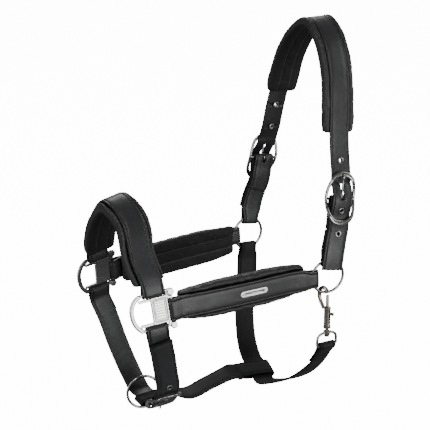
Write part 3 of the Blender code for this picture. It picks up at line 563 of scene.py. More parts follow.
def noise(tree, place, scale, detail=4.0, roughness=0.55):
    node = tree.nodes.new("ShaderNodeTexNoise")
    node.inputs["Scale"].default_value = scale
    node.inputs["Detail"].default_value = detail
    node.inputs["Roughness"].default_value = roughness
    tree.links.new(place, node.inputs["Vector"])
    return node.outputs["Fac"]


def cells(tree, place, scale, feature="F1"):
    node = tree.nodes.new("ShaderNodeTexVoronoi")
    node.feature = feature
    node.inputs["Scale"].default_value = scale
    tree.links.new(place, node.inputs["Vector"])
    return node.outputs["Distance"]


def remap(tree, value, low, high, to_low, to_high):
    node = tree.nodes.new("ShaderNodeMapRange")
    for name, number in (("From Min", low), ("From Max", high), ("To Min", to_low), ("To Max", to_high)):
        node.inputs[name].default_value = number
    tree.links.new(value, node.inputs["Value"])
    return node.outputs["Result"]


def mix_colour(tree, factor, dark, light):
    node = tree.nodes.new("ShaderNodeMix")
    node.data_type = "RGBA"
    for socket, value in ((node.inputs[6], dark), (node.inputs[7], light)):
        if isinstance(value, tuple):
            socket.default_value = (*value, 1.0)
        else:
            tree.links.new(value, socket)
    tree.links.new(factor, node.inputs[0])
    return node.outputs[2]


def maths(tree, operation, a, b):
    node = tree.nodes.new("ShaderNodeMath")
    node.operation = operation
    for socket, value in zip(node.inputs, (a, b)):
        if isinstance(value, (int, float)):
            socket.default_value = value
        else:
            tree.links.new(value, socket)
    return node.outputs[0]


def bump(tree, shader, height, strength, distance, below=None):
    node = tree.nodes.new("ShaderNodeBump")
    node.inputs["Strength"].default_value = strength
    node.inputs["Distance"].default_value = distance
    tree.links.new(height, node.inputs["Height"])
    if below is not None:
        tree.links.new(below, node.inputs["Normal"])
    tree.links.new(node.outputs["Normal"], shader.inputs["Normal"])
    return node.outputs["Normal"]


def leather(name, dark, light, roughness, grain, grain_depth, specular):
    """Dyed leather: fine pebble grain with pores, cloudy dye, and darkening by the per-point edge attribute,
    which is edge dye on burnished edges and painted shade in the creases.
    """
    made, tree, shader, place = new_material(name, light, roughness)
    cloud = noise(tree, place, 28.0, 5.0)
    fine = noise(tree, place, grain * 2.3, 3.0)
    pebble = cells(tree, place, grain)
    crease = cells(tree, place, grain * 0.43, "DISTANCE_TO_EDGE")
    shade = remap(tree, cloud, 0.35, 0.68, 0.0, 1.0)
    tone = mix_colour(tree, shade, dark, light)
    edge = tree.nodes.new("ShaderNodeAttribute")
    edge.attribute_name = "edge"
    # Mixes towards a darker tone by the edge attribute: real edge dye on edges and cut ends, painted shade in
    # the creases.
    tone = mix_colour(tree, edge.outputs["Fac"], tone, tuple(0.3 * c for c in dark))
    tree.links.new(tone, shader.inputs["Base Color"])
    rough = remap(tree, fine, 0.3, 0.7, roughness - 0.07, roughness + 0.09)
    rough = maths(tree, "ADD", rough, maths(tree, "MULTIPLY", shade, -0.05))
    tree.links.new(rough, shader.inputs["Roughness"])
    shader.inputs["Specular IOR Level"].default_value = specular
    height = maths(tree, "ADD", maths(tree, "MULTIPLY", pebble, 0.7), maths(tree, "MULTIPLY", fine, 0.5))
    first = bump(tree, shader, height, 0.55, grain_depth)
    lines = remap(tree, crease, 0.0, 0.16, 0.0, 1.0)
    second = bump(tree, shader, lines, 0.3, grain_depth * 0.9, first)
    bump(tree, shader, noise(tree, place, 75.0, 2.0), 0.35, 0.0006, second)
    return made


def metal(name, colour, roughness, wear, cast=0.0):
    """Plated metal: tiny scratches and hazing in its gloss, with a cast skin where cast is above 0."""
    made, tree, shader, place = new_material(name, colour, roughness, 1.0)
    haze = noise(tree, place, 190.0, 4.0)
    smudge = noise(tree, place, 40.0, 3.0)
    stretch = tree.nodes.new("ShaderNodeMapping")
    stretch.inputs["Scale"].default_value = (1.0, 1.0, 9.0)
    tree.links.new(place, stretch.inputs["Vector"])
    scratch = noise(tree, stretch.outputs["Vector"], 900.0, 2.0)
    rough = remap(tree, haze, 0.3, 0.75, roughness, roughness + wear)
    rough = maths(tree, "ADD", rough, remap(tree, scratch, 0.55, 0.75, 0.0, wear * 0.6))
    tree.links.new(rough, shader.inputs["Roughness"])
    darker = tuple(0.8 * c for c in colour)
    tone = mix_colour(tree, remap(tree, smudge, 0.35, 0.7, 0.0, 1.0), darker, colour)
    tree.links.new(tone, shader.inputs["Base Color"])
    first = bump(tree, shader, scratch, 0.12, 0.00006)
    if cast:
        bump(tree, shader, noise(tree, place, 1500.0, 2.0), 0.5, cast, first)
    return made


def thread(name, colour):
    """Waxed polyester thread, twisted."""
    made, tree, shader, place = new_material(name, colour, 0.55)
    twist = cells(tree, place, 2600.0)
    tone = mix_colour(tree, remap(tree, twist, 0.1, 0.6, 0.0, 1.0), tuple(0.5 * c for c in colour), colour)
    tree.links.new(tone, shader.inputs["Base Color"])
    bump(tree, shader, twist, 0.5, 0.0001)
    return made


def floor_material():
    made, tree, shader, place = new_material("studio_floor", (0.93, 0.93, 0.93), 0.9)
    tone = mix_colour(tree, noise(tree, place, 0.7, 2.0), (0.925, 0.925, 0.925), (0.935, 0.935, 0.935))
    tree.links.new(tone, shader.inputs["Base Color"])
    shader.inputs["Specular IOR Level"].default_value = 0.0
    shader.inputs["Emission Color"].default_value = (1.0, 1.0, 1.0, 1.0)
    shader.inputs["Emission Strength"].default_value = FLOOR_GLOW
    return made


LOOKS = {
    "strap": leather(
        "black_strap_leather", (0.0065, 0.0067, 0.0074), (0.0125, 0.0129, 0.0142), 0.44, 900.0, 0.00012, 0.42
    ),
    "pad": leather(
        "black_pad_leather", (0.0050, 0.0050, 0.0054), (0.0100, 0.0102, 0.0110), 0.55, 1250.0, 0.00022, 0.42
    ),
    "lining": leather(
        "soft_black_lining", (0.0028, 0.0028, 0.003), (0.0052, 0.0052, 0.0056), 0.72, 1500.0, 0.0001, 0.3
    ),
    "thread": thread("black_waxed_thread", (0.034, 0.034, 0.036)),
    "nickel": metal("polished_nickel_plate", (0.23, 0.228, 0.223), 0.15, 0.12),
    "warm": metal("warm_nickel_plate", (0.30, 0.28, 0.245), 0.15, 0.13),
    "cast": metal("satin_cast_plate", (0.78, 0.77, 0.755), 0.30, 0.12, 0.00008),
    # A darker copy of the cast plate for the fittings' inner faces: painted shade standing in for the dark
    # reflection there.
    "cast_painted_shade": metal("cast_plate_painted_shade", (0.12, 0.12, 0.12), 0.36, 0.12, 0.00008),
    "dull": leather(
        "dull_strap_leather", (0.0042, 0.0043, 0.0047), (0.0078, 0.008, 0.0088), 0.62, 900.0, 0.00014, 0.2
    ),
    "steel": metal("drawn_spring_wire", (0.45, 0.45, 0.46), 0.28, 0.12),
}


# ---------------------------------------------------------------- meshes
def to_frame(points):
    return (np.array(points, dtype=float) - POLL) * MM


def points_of(mesh):
    """A mesh's points, in millimetres from the middle between the cheek rings."""
    points = np.empty(len(mesh.vertices) * 3)
    mesh.vertices.foreach_get("co", points)
    return points.reshape(-1, 3) / MM + POLL


def set_points(mesh, points):
    mesh.vertices.foreach_set("co", ((points - POLL) * MM).ravel())
    mesh.update()


def bare(name, points, faces, look, edge=None, smooth_angle=40.0):
    mesh = bpy.data.meshes.new(name)
    mesh.from_pydata([tuple(p) for p in to_frame(points)], [], faces)
    attribute = mesh.attributes.new("edge", "FLOAT", "POINT")
    if edge is not None:
        attribute.data.foreach_set("value", np.array(edge, dtype=np.float32))
    tidy = bmesh.new()
    tidy.from_mesh(mesh)
    bmesh.ops.recalc_face_normals(tidy, faces=tidy.faces)
    tidy.to_mesh(mesh)
    tidy.free()
    mesh.materials.append(LOOKS[look])
    mesh.shade_smooth()
    if smooth_angle:
        mesh.set_sharp_from_angle(angle=math.radians(smooth_angle))
    made = bpy.data.objects.new(name, mesh)
    bpy.context.collection.objects.link(made)
    return made


def enlist(made, nodes=(), body="headcollar"):
    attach(made, body)
    if nodes:
        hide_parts(*nodes)
    return made


def piece(name, mesh, look, nodes=(), body="headcollar", edge=None, smooth_angle=40.0):
    return enlist(bare(name, *mesh, look, edge, smooth_angle), nodes, body)


def joined(meshes):
    points = []
    faces = []
    for more_points, more_faces in meshes:
        base = len(points)
        points += list(more_points)
        faces += [tuple(base + i for i in face) for face in more_faces]
    return points, faces


def apply_boolean(target, mesh, operation):
    tool = bare("tool_" + target.name, *mesh, "steel")
    change = target.modifiers.new("cut", "BOOLEAN")
    change.operation = operation
    change.solver = "EXACT"
    change.object = tool
    bake_modifiers(target)
    bpy.data.objects.remove(tool, do_unlink=True)


def bake_modifiers(target):
    """Replaces the mesh by what its modifiers make of it."""
    graph = bpy.context.evaluated_depsgraph_get()
    graph.update()
    fresh = bpy.data.meshes.new_from_object(target.evaluated_get(graph))
    target.modifiers.clear()
    target.data = fresh


# ---------------------------------------------------------------- straps
CREASE_IN = 2.6
CREASE_DEEP = 0.6


def strap_section(width, thick):
    """(across, height, edge shade) round a strap with burnished edges and a crease along each side; the edge
    shade is edge dye on the edges and painted shade in the creases.
    """
    w = width / 2
    t = thick / 2
    crease = w - CREASE_IN
    # The shades of 1.0 and 0.8 round the crease are painted shade in the groove; the 0.5 near the edge is edge
    # dye.
    face = [
        (w - 0.9, t - 0.02, 0.5), (crease + 0.75, t + 0.06, 0.0), (crease + 0.3, t - 0.4 * CREASE_DEEP, 1.0),
        (crease - 0.2, t - CREASE_DEEP, 1.0), (crease - 0.75, t - 0.1, 0.8), (crease - 1.5, t + 0.12, 0.0),
        (w * 0.36, t + 0.16, 0.0),
    ]
    side = [(w - 1.0, -t, 0.8), (w - 0.25, -t + 0.3, 1.0), (w, 0.0, 1.0), (w - 0.25, t - 0.3, 1.0)]
    half = side + face
    return half + [(-a, h, e) for a, h, e in reversed(half)]


def at(value, s):
    return value(s) if callable(value) else value


def ribbon(places, route, thick, width=STRAP_W):
    """(mesh, edge shades) of a strap along places, a list of (s, h) on the route."""
    centres = [route.lift(s, h) for s, h in places]
    rings = []
    shades = []
    for i, (s, _) in enumerate(places):
        before = centres[max(i - 1, 0)]
        after = centres[min(i + 1, len(centres) - 1)]
        tangent = unit(after - before)
        across = square_to(route.frame(s)[2], tangent)
        up = np.cross(across, tangent)
        section = strap_section(at(width, s), thick)
        end = i in (0, len(places) - 1)
        rings.append([centres[i] + across * a * (0.985 if end else 1.0) + up * b for a, b, _ in section])
        shades += [1.0 if end else e for _, _, e in section]
    return loft(rings), shades


def fold_start(s0, radius, straight, outer, inner, back):
    """(s, h) from the free end of the turned-back layer, round a bar at s0, to the outer layer."""
    middle = (outer + inner) / 2
    lower = [(s, inner) for s in spread(s0 + back, s0 + straight + FOLD_BLEND, STEP)]
    lower += ease(s0 + straight + FOLD_BLEND, inner, s0 + straight, middle - radius)[1:]
    turn = [
        (s0 - radius * math.sin(a), middle - radius * math.cos(a))
        for a in (math.pi * k / 14 for k in range(15))
    ]
    upper = ease(s0 + straight, middle + radius, s0 + straight + FOLD_BLEND, outer)
    if straight <= 0.5:
        return lower[:-1] + turn + upper[1:]
    return lower + turn + upper


def ease(s_from, h_from, s_to, h_to, steps=6):
    out = []
    for k in range(steps + 1):
        t = k / steps
        smooth = t * t * (3 - 2 * t)
        out.append((s_from + (s_to - s_from) * t, h_from + (h_to - h_from) * smooth))
    return out


def mirrored(places, length):
    """The same fold at the other end of a route."""
    return [(length - s, h) for s, h in reversed(places)]


def fold_radius(wire):
    return wire + GAP + LAYER / 2


def stitch(centre, along, normal):
    """One sunk lockstitch."""
    side = np.cross(normal, along)
    points = [centre - along * STITCH_L / 2 - normal * 0.12]
    for u, r in ((-0.62, 0.24), (0.0, 0.31), (0.62, 0.24)):
        for k in range(6):
            a = 2 * math.pi * k / 6
            round_it = r * (math.cos(a) * side + 0.75 * math.sin(a) * normal)
            points.append(centre + along * u * STITCH_L / 2 + round_it)
    points.append(centre + along * STITCH_L / 2 - normal * 0.12)
    faces = [(0, 1 + (k + 1) % 6, 1 + k) for k in range(6)]
    for row in range(2):
        a = 1 + 6 * row
        faces += [(a + k, a + (k + 1) % 6, a + 6 + (k + 1) % 6, a + 6 + k) for k in range(6)]
    faces += [(19, 13 + k, 13 + (k + 1) % 6) for k in range(6)]
    return points, faces


STITCH_L = 2.5
STITCH_PITCH = 3.2
STITCH_IN = 2.85


def seam_along(route, start, end, across, height):
    """Stitches along a strap from start to end; across and height are numbers or functions of s."""
    made = []
    for k in range(int((end - start) / STITCH_PITCH) + 1):
        s = start + k * STITCH_PITCH
        point, tangent, width, normal = route.frame(s)
        slant = unit(tangent + width * 0.10)
        made.append(stitch(point + width * at(across, s) + normal * at(height, s), slant, normal))
    return made


def seam_across(route, s, half, height):
    """A row of stitches straight across a strap."""
    point, tangent, width, normal = route.frame(s)
    count = int(2 * half / STITCH_PITCH)
    made = []
    for k in range(count + 1):
        a = (k - count / 2) * STITCH_PITCH
        made.append(stitch(point + width * a + normal * height, unit(width + tangent * 0.1), normal))
    return made


def seam_cross(route, s_from, s_to, half, height):
    """Two diagonals of a stitched box."""
    made = []
    first, _, width, normal = route.frame(s_from)
    last = route.point(s_to)
    for sign in (1, -1):
        a = first + width * half * sign
        b = last - width * half * sign
        run = b - a
        count = int(np.linalg.norm(run) / STITCH_PITCH)
        for k in range(1, count):
            made.append(stitch(a + run * k / count + normal * height, unit(run), normal))
    return made


def strap(name, mesh_and_shades, nodes, cutters=(), look="strap"):
    mesh, shades = mesh_and_shades
    made = piece(name, mesh, look, nodes, edge=shades, smooth_angle=50.0)
    if cutters:
        apply_boolean(made, joined(cutters), "DIFFERENCE")


def stitches(name, rows):
    piece(name, joined([mesh for row in rows for mesh in row]), "thread", smooth_angle=0)


def doubled_places(route, start, end):
    half = (LAYER + SEWN_GAP) / 2
    middle = route.length / 2
    first = fold_start(start[0], fold_radius(start[1]), start[2], half, -half, middle - start[0] - 0.3)
    last = fold_start(end[0], fold_radius(end[1]), end[2], half, -half, middle - end[0] - 0.3)
    last = mirrored(last, route.length)
    run = [(s, half) for s in spread(first[-1][0], last[0][0], STEP)][1:-1]
    return first + run + last


def folded_places(route, start, end, back=FOLD_BACK):
    half = (LAYER + SEWN_GAP) / 2
    first = [(0.0, 0.0)]
    if start:
        first = fold_start(start[0], fold_radius(start[1]), start[2], half, -half, start[2] + back)
    last = [(route.length, 0.0)]
    if end:
        last = fold_start(end[0], fold_radius(end[1]), end[2], half, -half, end[2] + back)
        last = mirrored(last, route.length)
    run = []
    for s in spread(first[-1][0], last[0][0], STEP)[1:-1]:
        lift = half if start else 0.0
        if not end:
            lift = half * max(0.0, min(1.0, (110.0 - s) / 50.0))
        run.append((s, lift))
    return first + run + last


OUTER = (LAYER + SEWN_GAP) / 2 + LAYER / 2
SEAM_H = OUTER + 0.1
SEAM_HALF = STRAP_W / 2 - STITCH_IN


def edge_rows(route, start, end, width, height, both_faces=True):
    """Stitch rows along both edges of a strap, on its outer face and, for a doubled one, on its inner."""
    rows = []
    for sign in (1, -1):
        for face in (height, -height) if both_faces else (height,):
            rows.append(seam_along(route, start, end, lambda s: sign * (at(width, s) / 2 - STITCH_IN), face))
    return rows


# ---------------------------------------------------------------- pads
def pad_outline(half, top, full_rise):
    """(across, height, kind) round a pad, from the middle of its top round its right edge to the bottom.

    kind is 0 on the leather cover, 1 on the lining, and 2 where it is held by a seam."""
    inner = STRAP_W / 2 + 0.1
    zone = half - inner
    rise = full_rise * min(1.0, zone / 6.0)
    side = top - PAD_SIDE
    low = top - PAD_DEEP
    right = [
        (5.0, top - 0.35, 2), (9.5, top - 0.35, 2), (inner - 0.7, top - 0.4, 2),
        (inner + 0.02 * zone, top + 0.45 * rise, 2), (inner + 0.13 * zone, top + 0.86 * rise, 0),
        (inner + 0.42 * zone, top + 1.0 * rise, 0), (inner + 0.72 * zone, top + 0.80 * rise, 0),
        (half - 0.35, top + 0.25 * rise, 0), (half - 0.1, side + 1.2, 0), (half - 0.7, side - 0.5, 2),
        (half - 0.5, side - 1.6, 1), (half - 0.45 * UNDERCUT, low + 1.3, 1), (half - UNDERCUT, low + 0.35, 1),
        (half - UNDERCUT - 3.4, low + 0.3, 1), (9.2, low + 0.6, 1), (7.7, low + 1.7, 2), (6.6, low + 2.1, 2),
        (3.5, low + 1.7, 1),
    ]
    return [(0.0, top - 0.35, 2)] + right + [(0.0, low + 1.6, 1)] + [(-a, h, k) for a, h, k in reversed(right)]


def pad(name, route, start, end, half_at, top, rise, nodes):
    """A padded strip: a closed grid along the route that is puffed up between its seams."""
    stops = spread(start, end, PAD_STEP)
    rings = []
    kinds = []
    coords = []
    for i, s in enumerate(stops):
        near_end = min(s - start, end - s)
        round_off = 0.42 + 0.58 * min(1.0, math.sqrt(max(near_end, 0.0) / 6.0))
        half = half_at(s)
        outline = pad_outline(half, top, rise)
        point, _, width, normal = route.frame(s)
        middle = top - 1.2
        rings.append([])
        for a, h, kind in outline:
            squeezed = middle + (h - middle) * round_off
            a_in = a * (1.0 - 0.05 * (1 - round_off))
            rings[-1].append(point + width * a_in + normal * squeezed)
            kinds.append(2 if i in (0, len(stops) - 1) else kind)
            coords.append((s, a, h))
    mesh = loft(rings)
    made = bare(name, *mesh, "pad", smooth_angle=0)
    made.data.materials.append(LOOKS["lining"])
    size = len(rings[0])
    flat = [outline_kind for _, _, outline_kind in pad_outline(half_at(stops[1]), top, rise)]
    for polygon in made.data.polygons:
        if len(polygon.vertices) == 4:
            slots = {v % size for v in polygon.vertices}
            polygon.material_index = int(any(flat[k] == 1 for k in slots))
    puff(made, kinds)
    clamp_under_strap(made, route, coords, top)
    smooth = made.modifiers.new("smooth", "SUBSURF")
    smooth.levels = 1
    smooth.render_levels = 1
    bake_modifiers(made)
    wrinkle(made, route, top)
    made.data.shade_smooth()
    enlist(made, nodes)


def puff(made, kinds):
    """Blows the pad up between its seams with a short cloth simulation, and keeps the result."""
    held = made.vertex_groups.new(name="held")
    held.add([i for i, kind in enumerate(kinds) if kind == 2], 1.0, "REPLACE")
    before = points_of(made.data)
    cloth = made.modifiers.new("Cloth", "CLOTH")
    settings = cloth.settings
    settings.quality = 7
    settings.mass = 0.25
    settings.tension_stiffness = 18.0
    settings.compression_stiffness = 18.0
    settings.shear_stiffness = 6.0
    settings.bending_stiffness = 0.25
    settings.shrink_min = -0.06
    settings.use_pressure = True
    settings.uniform_pressure_force = 4.0
    settings.vertex_group_mass = "held"
    settings.pin_stiffness = 1.0
    settings.effector_weights.gravity = 0.0
    cloth.point_cache.frame_start = 1
    cloth.point_cache.frame_end = 20
    scene = bpy.context.scene
    for number in range(1, 21):
        scene.frame_set(number)
    graph = bpy.context.evaluated_depsgraph_get()
    move = points_of(made.evaluated_get(graph).data) - before
    length = np.linalg.norm(move, axis=1, keepdims=True)
    move *= np.minimum(1.0, PUFF_CAP / np.maximum(length, 1e-6))
    made.modifiers.remove(cloth)
    made.vertex_groups.remove(held)
    set_points(made.data, before + move)
    scene.frame_set(1)


def clamp_under_strap(made, route, coords, top):
    """Keeps the cover below the strap that is sewn on it."""
    points = points_of(made.data)
    for i, (s, a, h) in enumerate(coords):
        if abs(a) > STRAP_W / 2 + 0.2 or h < top - 2.0:
            continue
        base, _, _, normal = route.frame(s)
        height = float(np.dot(points[i] - base, normal))
        if height > top - 0.3:
            points[i] -= normal * (height - top + 0.3)
    set_points(made.data, points)


def wrinkle(made, route, top):
    """Small gathers where the rolls are sewn down, deeper close to the seams."""
    points = points_of(made.data)
    line = route.line
    place = route.at_point
    rng = np.random.default_rng(11)
    phase = rng.uniform(0.0, 2 * math.pi, 3)
    for i, p in enumerate(points):
        k = int(np.argmin(((line - p) ** 2).sum(axis=1)))
        s = place[k]
        base, tangent, width, normal = route.frame(s)
        s += float(np.dot(p - base, tangent))
        across = float(np.dot(p - base, width))
        height = float(np.dot(p - base, normal))
        if abs(across) < STRAP_W / 2 + 0.4:
            continue
        side = 1.0 if across > 0 else -1.0
        wave = (
            math.sin(2 * math.pi * s / 6.3 + phase[0] * side + 0.7 * math.sin(s / 17.0))
            + 0.6 * math.sin(2 * math.pi * s / 3.9 + phase[1] + side)
            + 0.5 * math.sin(2 * math.pi * s / 14.0 + phase[2] * side)
        )
        share = 1.0 if height > top - 3.0 else 0.45
        points[i] = p + (normal * 0.8 + width * side * 0.6) * wave * 0.13 * share
    set_points(made.data, points)


def soft_ends(start, end, full, ends, run):
    def half_at(s):
        t = max(0.0, min(1.0, min(s - start, end - s) / run))
        return (ends + (full - ends) * math.sin(t * math.pi / 2)) / 2

    return half_at


def pad_seams(name, route, start, end, top):
    """Stitch rows on a pad, along the channel of the lining."""
    low = top - PAD_DEEP
    rows = []
    for sign in (1, -1):
        rows.append(seam_along(route, start + 8.0, end - 8.0, sign * CHANNEL_HALF, low + 1.85))
    stitches(name, rows)


def piping(name, route, start, end, half_at, top):
    """The turned seam between the leather cover and the lining, as a thin welt round each edge."""
    side = top - PAD_SIDE
    meshes = []
    for sign in (1, -1):
        line = []
        for s in spread(start + 2.0, end - 2.0, STEP):
            point, _, width, normal = route.frame(s)
            wobble = 0.08 * math.sin(s * 1.1) + 0.05 * math.sin(s * 2.7)
            line.append(point + width * sign * (half_at(s) - 0.75 + wobble) + normal * (side - 0.5))
        meshes.append(tube(line, 0.62, 8))
    piece(name, joined(meshes), "lining", smooth_angle=0)


def padded_strip(name, node, route, start, end, shape, top, rise):
    """A pad with its seams and welts; shape is (width, width at its ends, length of its taper)."""
    half_at = soft_ends(start, end, *shape)
    nodes = [f"{node}_{layer}" for layer in ("cover", "foam", "lining")]
    pad(f"{name}_roll", route, start, end, half_at, top, rise, nodes)
    pad_seams(f"{name}_stitches", route, start, end, top)
    piping(f"{name}_welt", route, start, end, half_at, top)


# ---------------------------------------------------------------- metal parts
def ring_mesh(centre, along, up, radius):
    return tube(circle(centre, along, up, radius, 96), RING_WIRE, 20, closed=True, hint=np.cross(along, up))


def buckle_mesh(axes):
    """The oval frame: a flattened section that is widest and slightly dished at the two ends."""
    count = 128
    path = []
    for k in range(count):
        a = 2 * math.pi * k / count
        c, s = math.cos(a), math.sin(a)
        w = BUCKLE_HALF_W * math.copysign(abs(c) ** 0.84, c)
        along = BUCKLE_HALF_L * math.copysign(abs(s) ** 0.84, s)
        lift = BUCKLE_ARCH * min(1.0, abs(along) / 20.0) ** 1.5
        path.append(buckle_point(axes, along, lift, w))
    rings = []
    for i in range(count):
        tangent = unit(path[(i + 1) % count] - path[i - 1])
        out = unit(np.cross(axes[3], tangent))
        up = np.cross(tangent, out)
        reach = abs(np.dot(path[i] - axes[0], axes[1])) / BUCKLE_HALF_L
        wide = BUCKLE_SIDE_BAND + (BUCKLE_END_BAND - BUCKLE_SIDE_BAND) * max(0.0, reach) ** 4
        ring = []
        for j in range(20):
            a = 2 * math.pi * j / 20
            c, s = math.cos(a), math.sin(a)
            flat = math.copysign(abs(s) ** 0.75, s)
            ring.append(path[i] + wide * c * out + BUCKLE_WIRE * flat * up)
        rings.append(ring)
    return loft(rings, closed=True)


def bar_mesh(axes):
    """The centre bar, swelling where it joins the frame."""
    count = 25
    line = []
    radius = []
    for k in range(count):
        w = BUCKLE_HALF_W * (2 * k / (count - 1) - 1)
        line.append(buckle_point(axes, 0.0, 0.0, w))
        flare = max(0.0, abs(w) - BUCKLE_HALF_W + 3.6) / 3.6
        radius.append(BUCKLE_BAR + 0.35 * flare**2)
    return tube(line, radius, 16, hint=axes[3])


def tongue_mesh(axes):
    turn = BUCKLE_BAR + 0.3 + TONGUE_R
    path = []
    for k in range(9):
        a = math.radians(-50.0 - k * 26.0)
        path.append(buckle_point(axes, turn * math.cos(a), turn * math.sin(a)))
    rest = BUCKLE_ARCH + BUCKLE_WIRE + GAP + TONGUE_R
    places = ((9.0, 4.5), (20.0, 6.2), (BUCKLE_HALF_L - 3.5, rest), (BUCKLE_HALF_L + 1.0, rest))
    path += [buckle_point(axes, a, h) for a, h in places]
    route = Route(path, [vec(0.3, 0.2, 1.0)])
    line = [route.point(s) for s in spread(0.0, route.length, 0.8)]
    count = len(line)
    radius = [TONGUE_R * min(1.0, 0.72 + 0.5 * (count - 1 - k) / 7.0) for k in range(count)]
    radius[0] = TONGUE_R * 0.7
    radius[-1] = TONGUE_R * 0.42
    return tube(line, radius, 14, hint=axes[2])


def eyelet_mesh(centre, axis):
    """A rolled eyelet: a domed flange on each face of the strap."""
    face = CROWN_T / 2 + EYELET_GAP - 0.05
    section = []
    for k in range(9):
        a = math.pi * k / 8
        section.append((2.95 + 0.95 * math.cos(a), face + 0.1 + 0.62 * math.sin(a)))
    section = [(3.9, face), *section, (2.0, face - 0.6)]
    section = [(2.55, 0.0), (2.55, face)] + section
    section += [(r, -z) for r, z in reversed(section)][:-1]
    return turned(section, centre, axis, 28)


def turned(profile, centre, axis, sides):
    """A closed ring of section profile [(radius, along)] turned about an axis."""
    axis = unit(np.array(axis, dtype=float))
    first = square_to(vec(1.0, 0.0, 0.0), axis)
    second = np.cross(axis, first)
    rings = []
    for j in range(sides):
        a = 2 * math.pi * j / sides
        out = math.cos(a) * first + math.sin(a) * second
        rings.append([centre + out * r + axis * z for r, z in profile])
    return loft(rings, closed=True)


def circle(centre, across, up, radius, sides):
    turns = (2 * math.pi * j / sides for j in range(sides))
    return [centre + radius * (math.cos(a) * across + math.sin(a) * up) for a in turns]


def tube(points, radius, sides=8, closed=False, hint=(0.0, 0.0, 1.0)):
    """Points and faces of a round wire along points; a closed one takes every ring's start from the hint."""
    points = [np.array(p, dtype=float) for p in points]
    count = len(points)
    hint = across = np.array(hint, dtype=float)
    rings = []
    for i in range(count):
        before = points[(i - 1) % count] if closed or i else points[0]
        after = points[(i + 1) % count] if closed or i < count - 1 else points[-1]
        tangent = unit(after - before)
        across = square_to(hint if closed else across, tangent)
        wide = radius[i] if isinstance(radius, (list, tuple)) else radius
        rings.append(circle(points[i], across, np.cross(across, tangent), wide, sides))
    return loft(rings, closed)


def rod(centre, axis, radius, length, sides=24, hint=(1.0, 0.0, 0.0)):
    axis = unit(np.array(axis, dtype=float))
    ends = [centre - axis * length / 2, centre + axis * length / 2]
    return tube(ends, radius, sides, hint=square_to(np.array(hint, dtype=float), axis))


def block(centre, axes, sizes):
    """A box from its centre, three directions and three full sizes."""
    rings = []
    for end in (-0.5, 0.5):
        rings.append(
            [
                centre + axes[0] * sizes[0] * a + axes[1] * sizes[1] * b + axes[2] * sizes[2] * end
                for a, b in ((-0.5, -0.5), (0.5, -0.5), (0.5, 0.5), (-0.5, 0.5))
            ]
        )
    return loft(rings)


def domed_rod(centre, axis, radius, length, hint):
    """A short rod with rounded ends, for bosses and ears."""
    axis = unit(axis)
    half = length / 2
    steps = ((half, 1.0), (half - 0.35, 0.3), (half - 1.0, 0.0))
    line = [centre - axis * reach for reach, _ in steps]
    line += [centre + axis * reach for reach, _ in reversed(steps)]
    inset = [less for _, less in steps]
    return tube(line, [radius - less for less in inset + inset[::-1]], 28, hint=hint)


def fitting(name, side):
    """Cast side fitting: united from its parts, then remeshed and softened so that its corners are cast."""
    axes = along, up, outward = fitting_axes(side)[1:]

    def place(u, v, h=0.0):
        return fitting_point(side, u, v, h)

    arc = [
        (ARC_TOP_U, FITTING_TOP - 0.2), (-23.6, 20.4), (-27.8, 15.4), (-30.0, 9.4), (-30.4, 3.0),
        (-29.4, -3.4), (-27.2, -9.4), (-23.8, -14.2), (ARC_LOW_U, FITTING_BOTTOM),
    ]
    route = Route([vec(u, v, 0.0) for u, v in arc], [vec(0.0, 0.0, 1.0)])
    rings = []
    for s in spread(0.0, route.length, 0.8):
        (u, v, _), run = route.point(s), route.tangent(s)
        out = (-run[1], run[0])
        section = [
            (-2.5, -0.9), (-2.1, -1.5), (-1.5, -1.7), (1.5, -1.7), (2.1, -1.5), (2.5, -0.9),
            (2.5, 0.7), (2.0, 1.6), (1.0, 2.1), (-1.0, 2.1), (-2.0, 1.6), (-2.5, 0.7),
        ]
        rings.append([place(u + out[0] * a, v + out[1] * a, h) for a, h in section])
    parts = [
        block(place(2.4, 3.0, 0.5), axes, (19.2, 31.0, 3.6)),
        block(place(-13.0, 16.9, 0.4), axes, (16.0, 3.0, 3.0)),
        block(place(-13.5, -11.0, 0.4), axes, (17.0, 3.0, 3.0)),
        block(place(13.6, 17.6, 0.3), axes, (5.6, 8.0, 2.8)),
        block(place(12.6, -15.9, 0.3), axes, (6.2, 3.4, 2.8)),
        block(place(10.7, -13.4, 0.35), axes, (2.2, 5.0, 2.6)),
        loft(rings),
        rod(place(-0.9, FITTING_TOP), along, FITTING_BAR, 36.0, 24, up),
        rod(place(-2.4, FITTING_BOTTOM), along, FITTING_BAR, 36.0, 24, up),
        rod(place(FITTING_REAR, 1.5), up, FITTING_BAR, 38.0, 24, along),
        domed_rod(place(FITTING_REAR, 20.6, 0.2), outward, 4.3, 4.8, up),
        domed_rod(place(15.6, -18.2, 0.2), outward, 4.1, 4.8, up),
    ]
    made = bare(f"side_plate_{name}", *joined(parts), "cast", smooth_angle=0)
    remesh = made.modifiers.new("remesh", "REMESH")
    remesh.mode = "VOXEL"
    remesh.voxel_size = CAST_VOXEL * MM
    soften = made.modifiers.new("soften", "SMOOTH")
    soften.factor = 0.5
    soften.iterations = 5
    bake_modifiers(made)
    emboss(made, place, axes)
    # Faces turned away from the outside take the darker copy of the cast plate: painted shade on the plate's
    # back.
    made.data.materials.append(LOOKS["cast_painted_shade"])
    for face in made.data.polygons:
        if np.dot(outward, face.normal) < -0.35:
            face.material_index = 1
    made.data.shade_smooth()
    enlist(made, [f"side_fitting_{name}"])


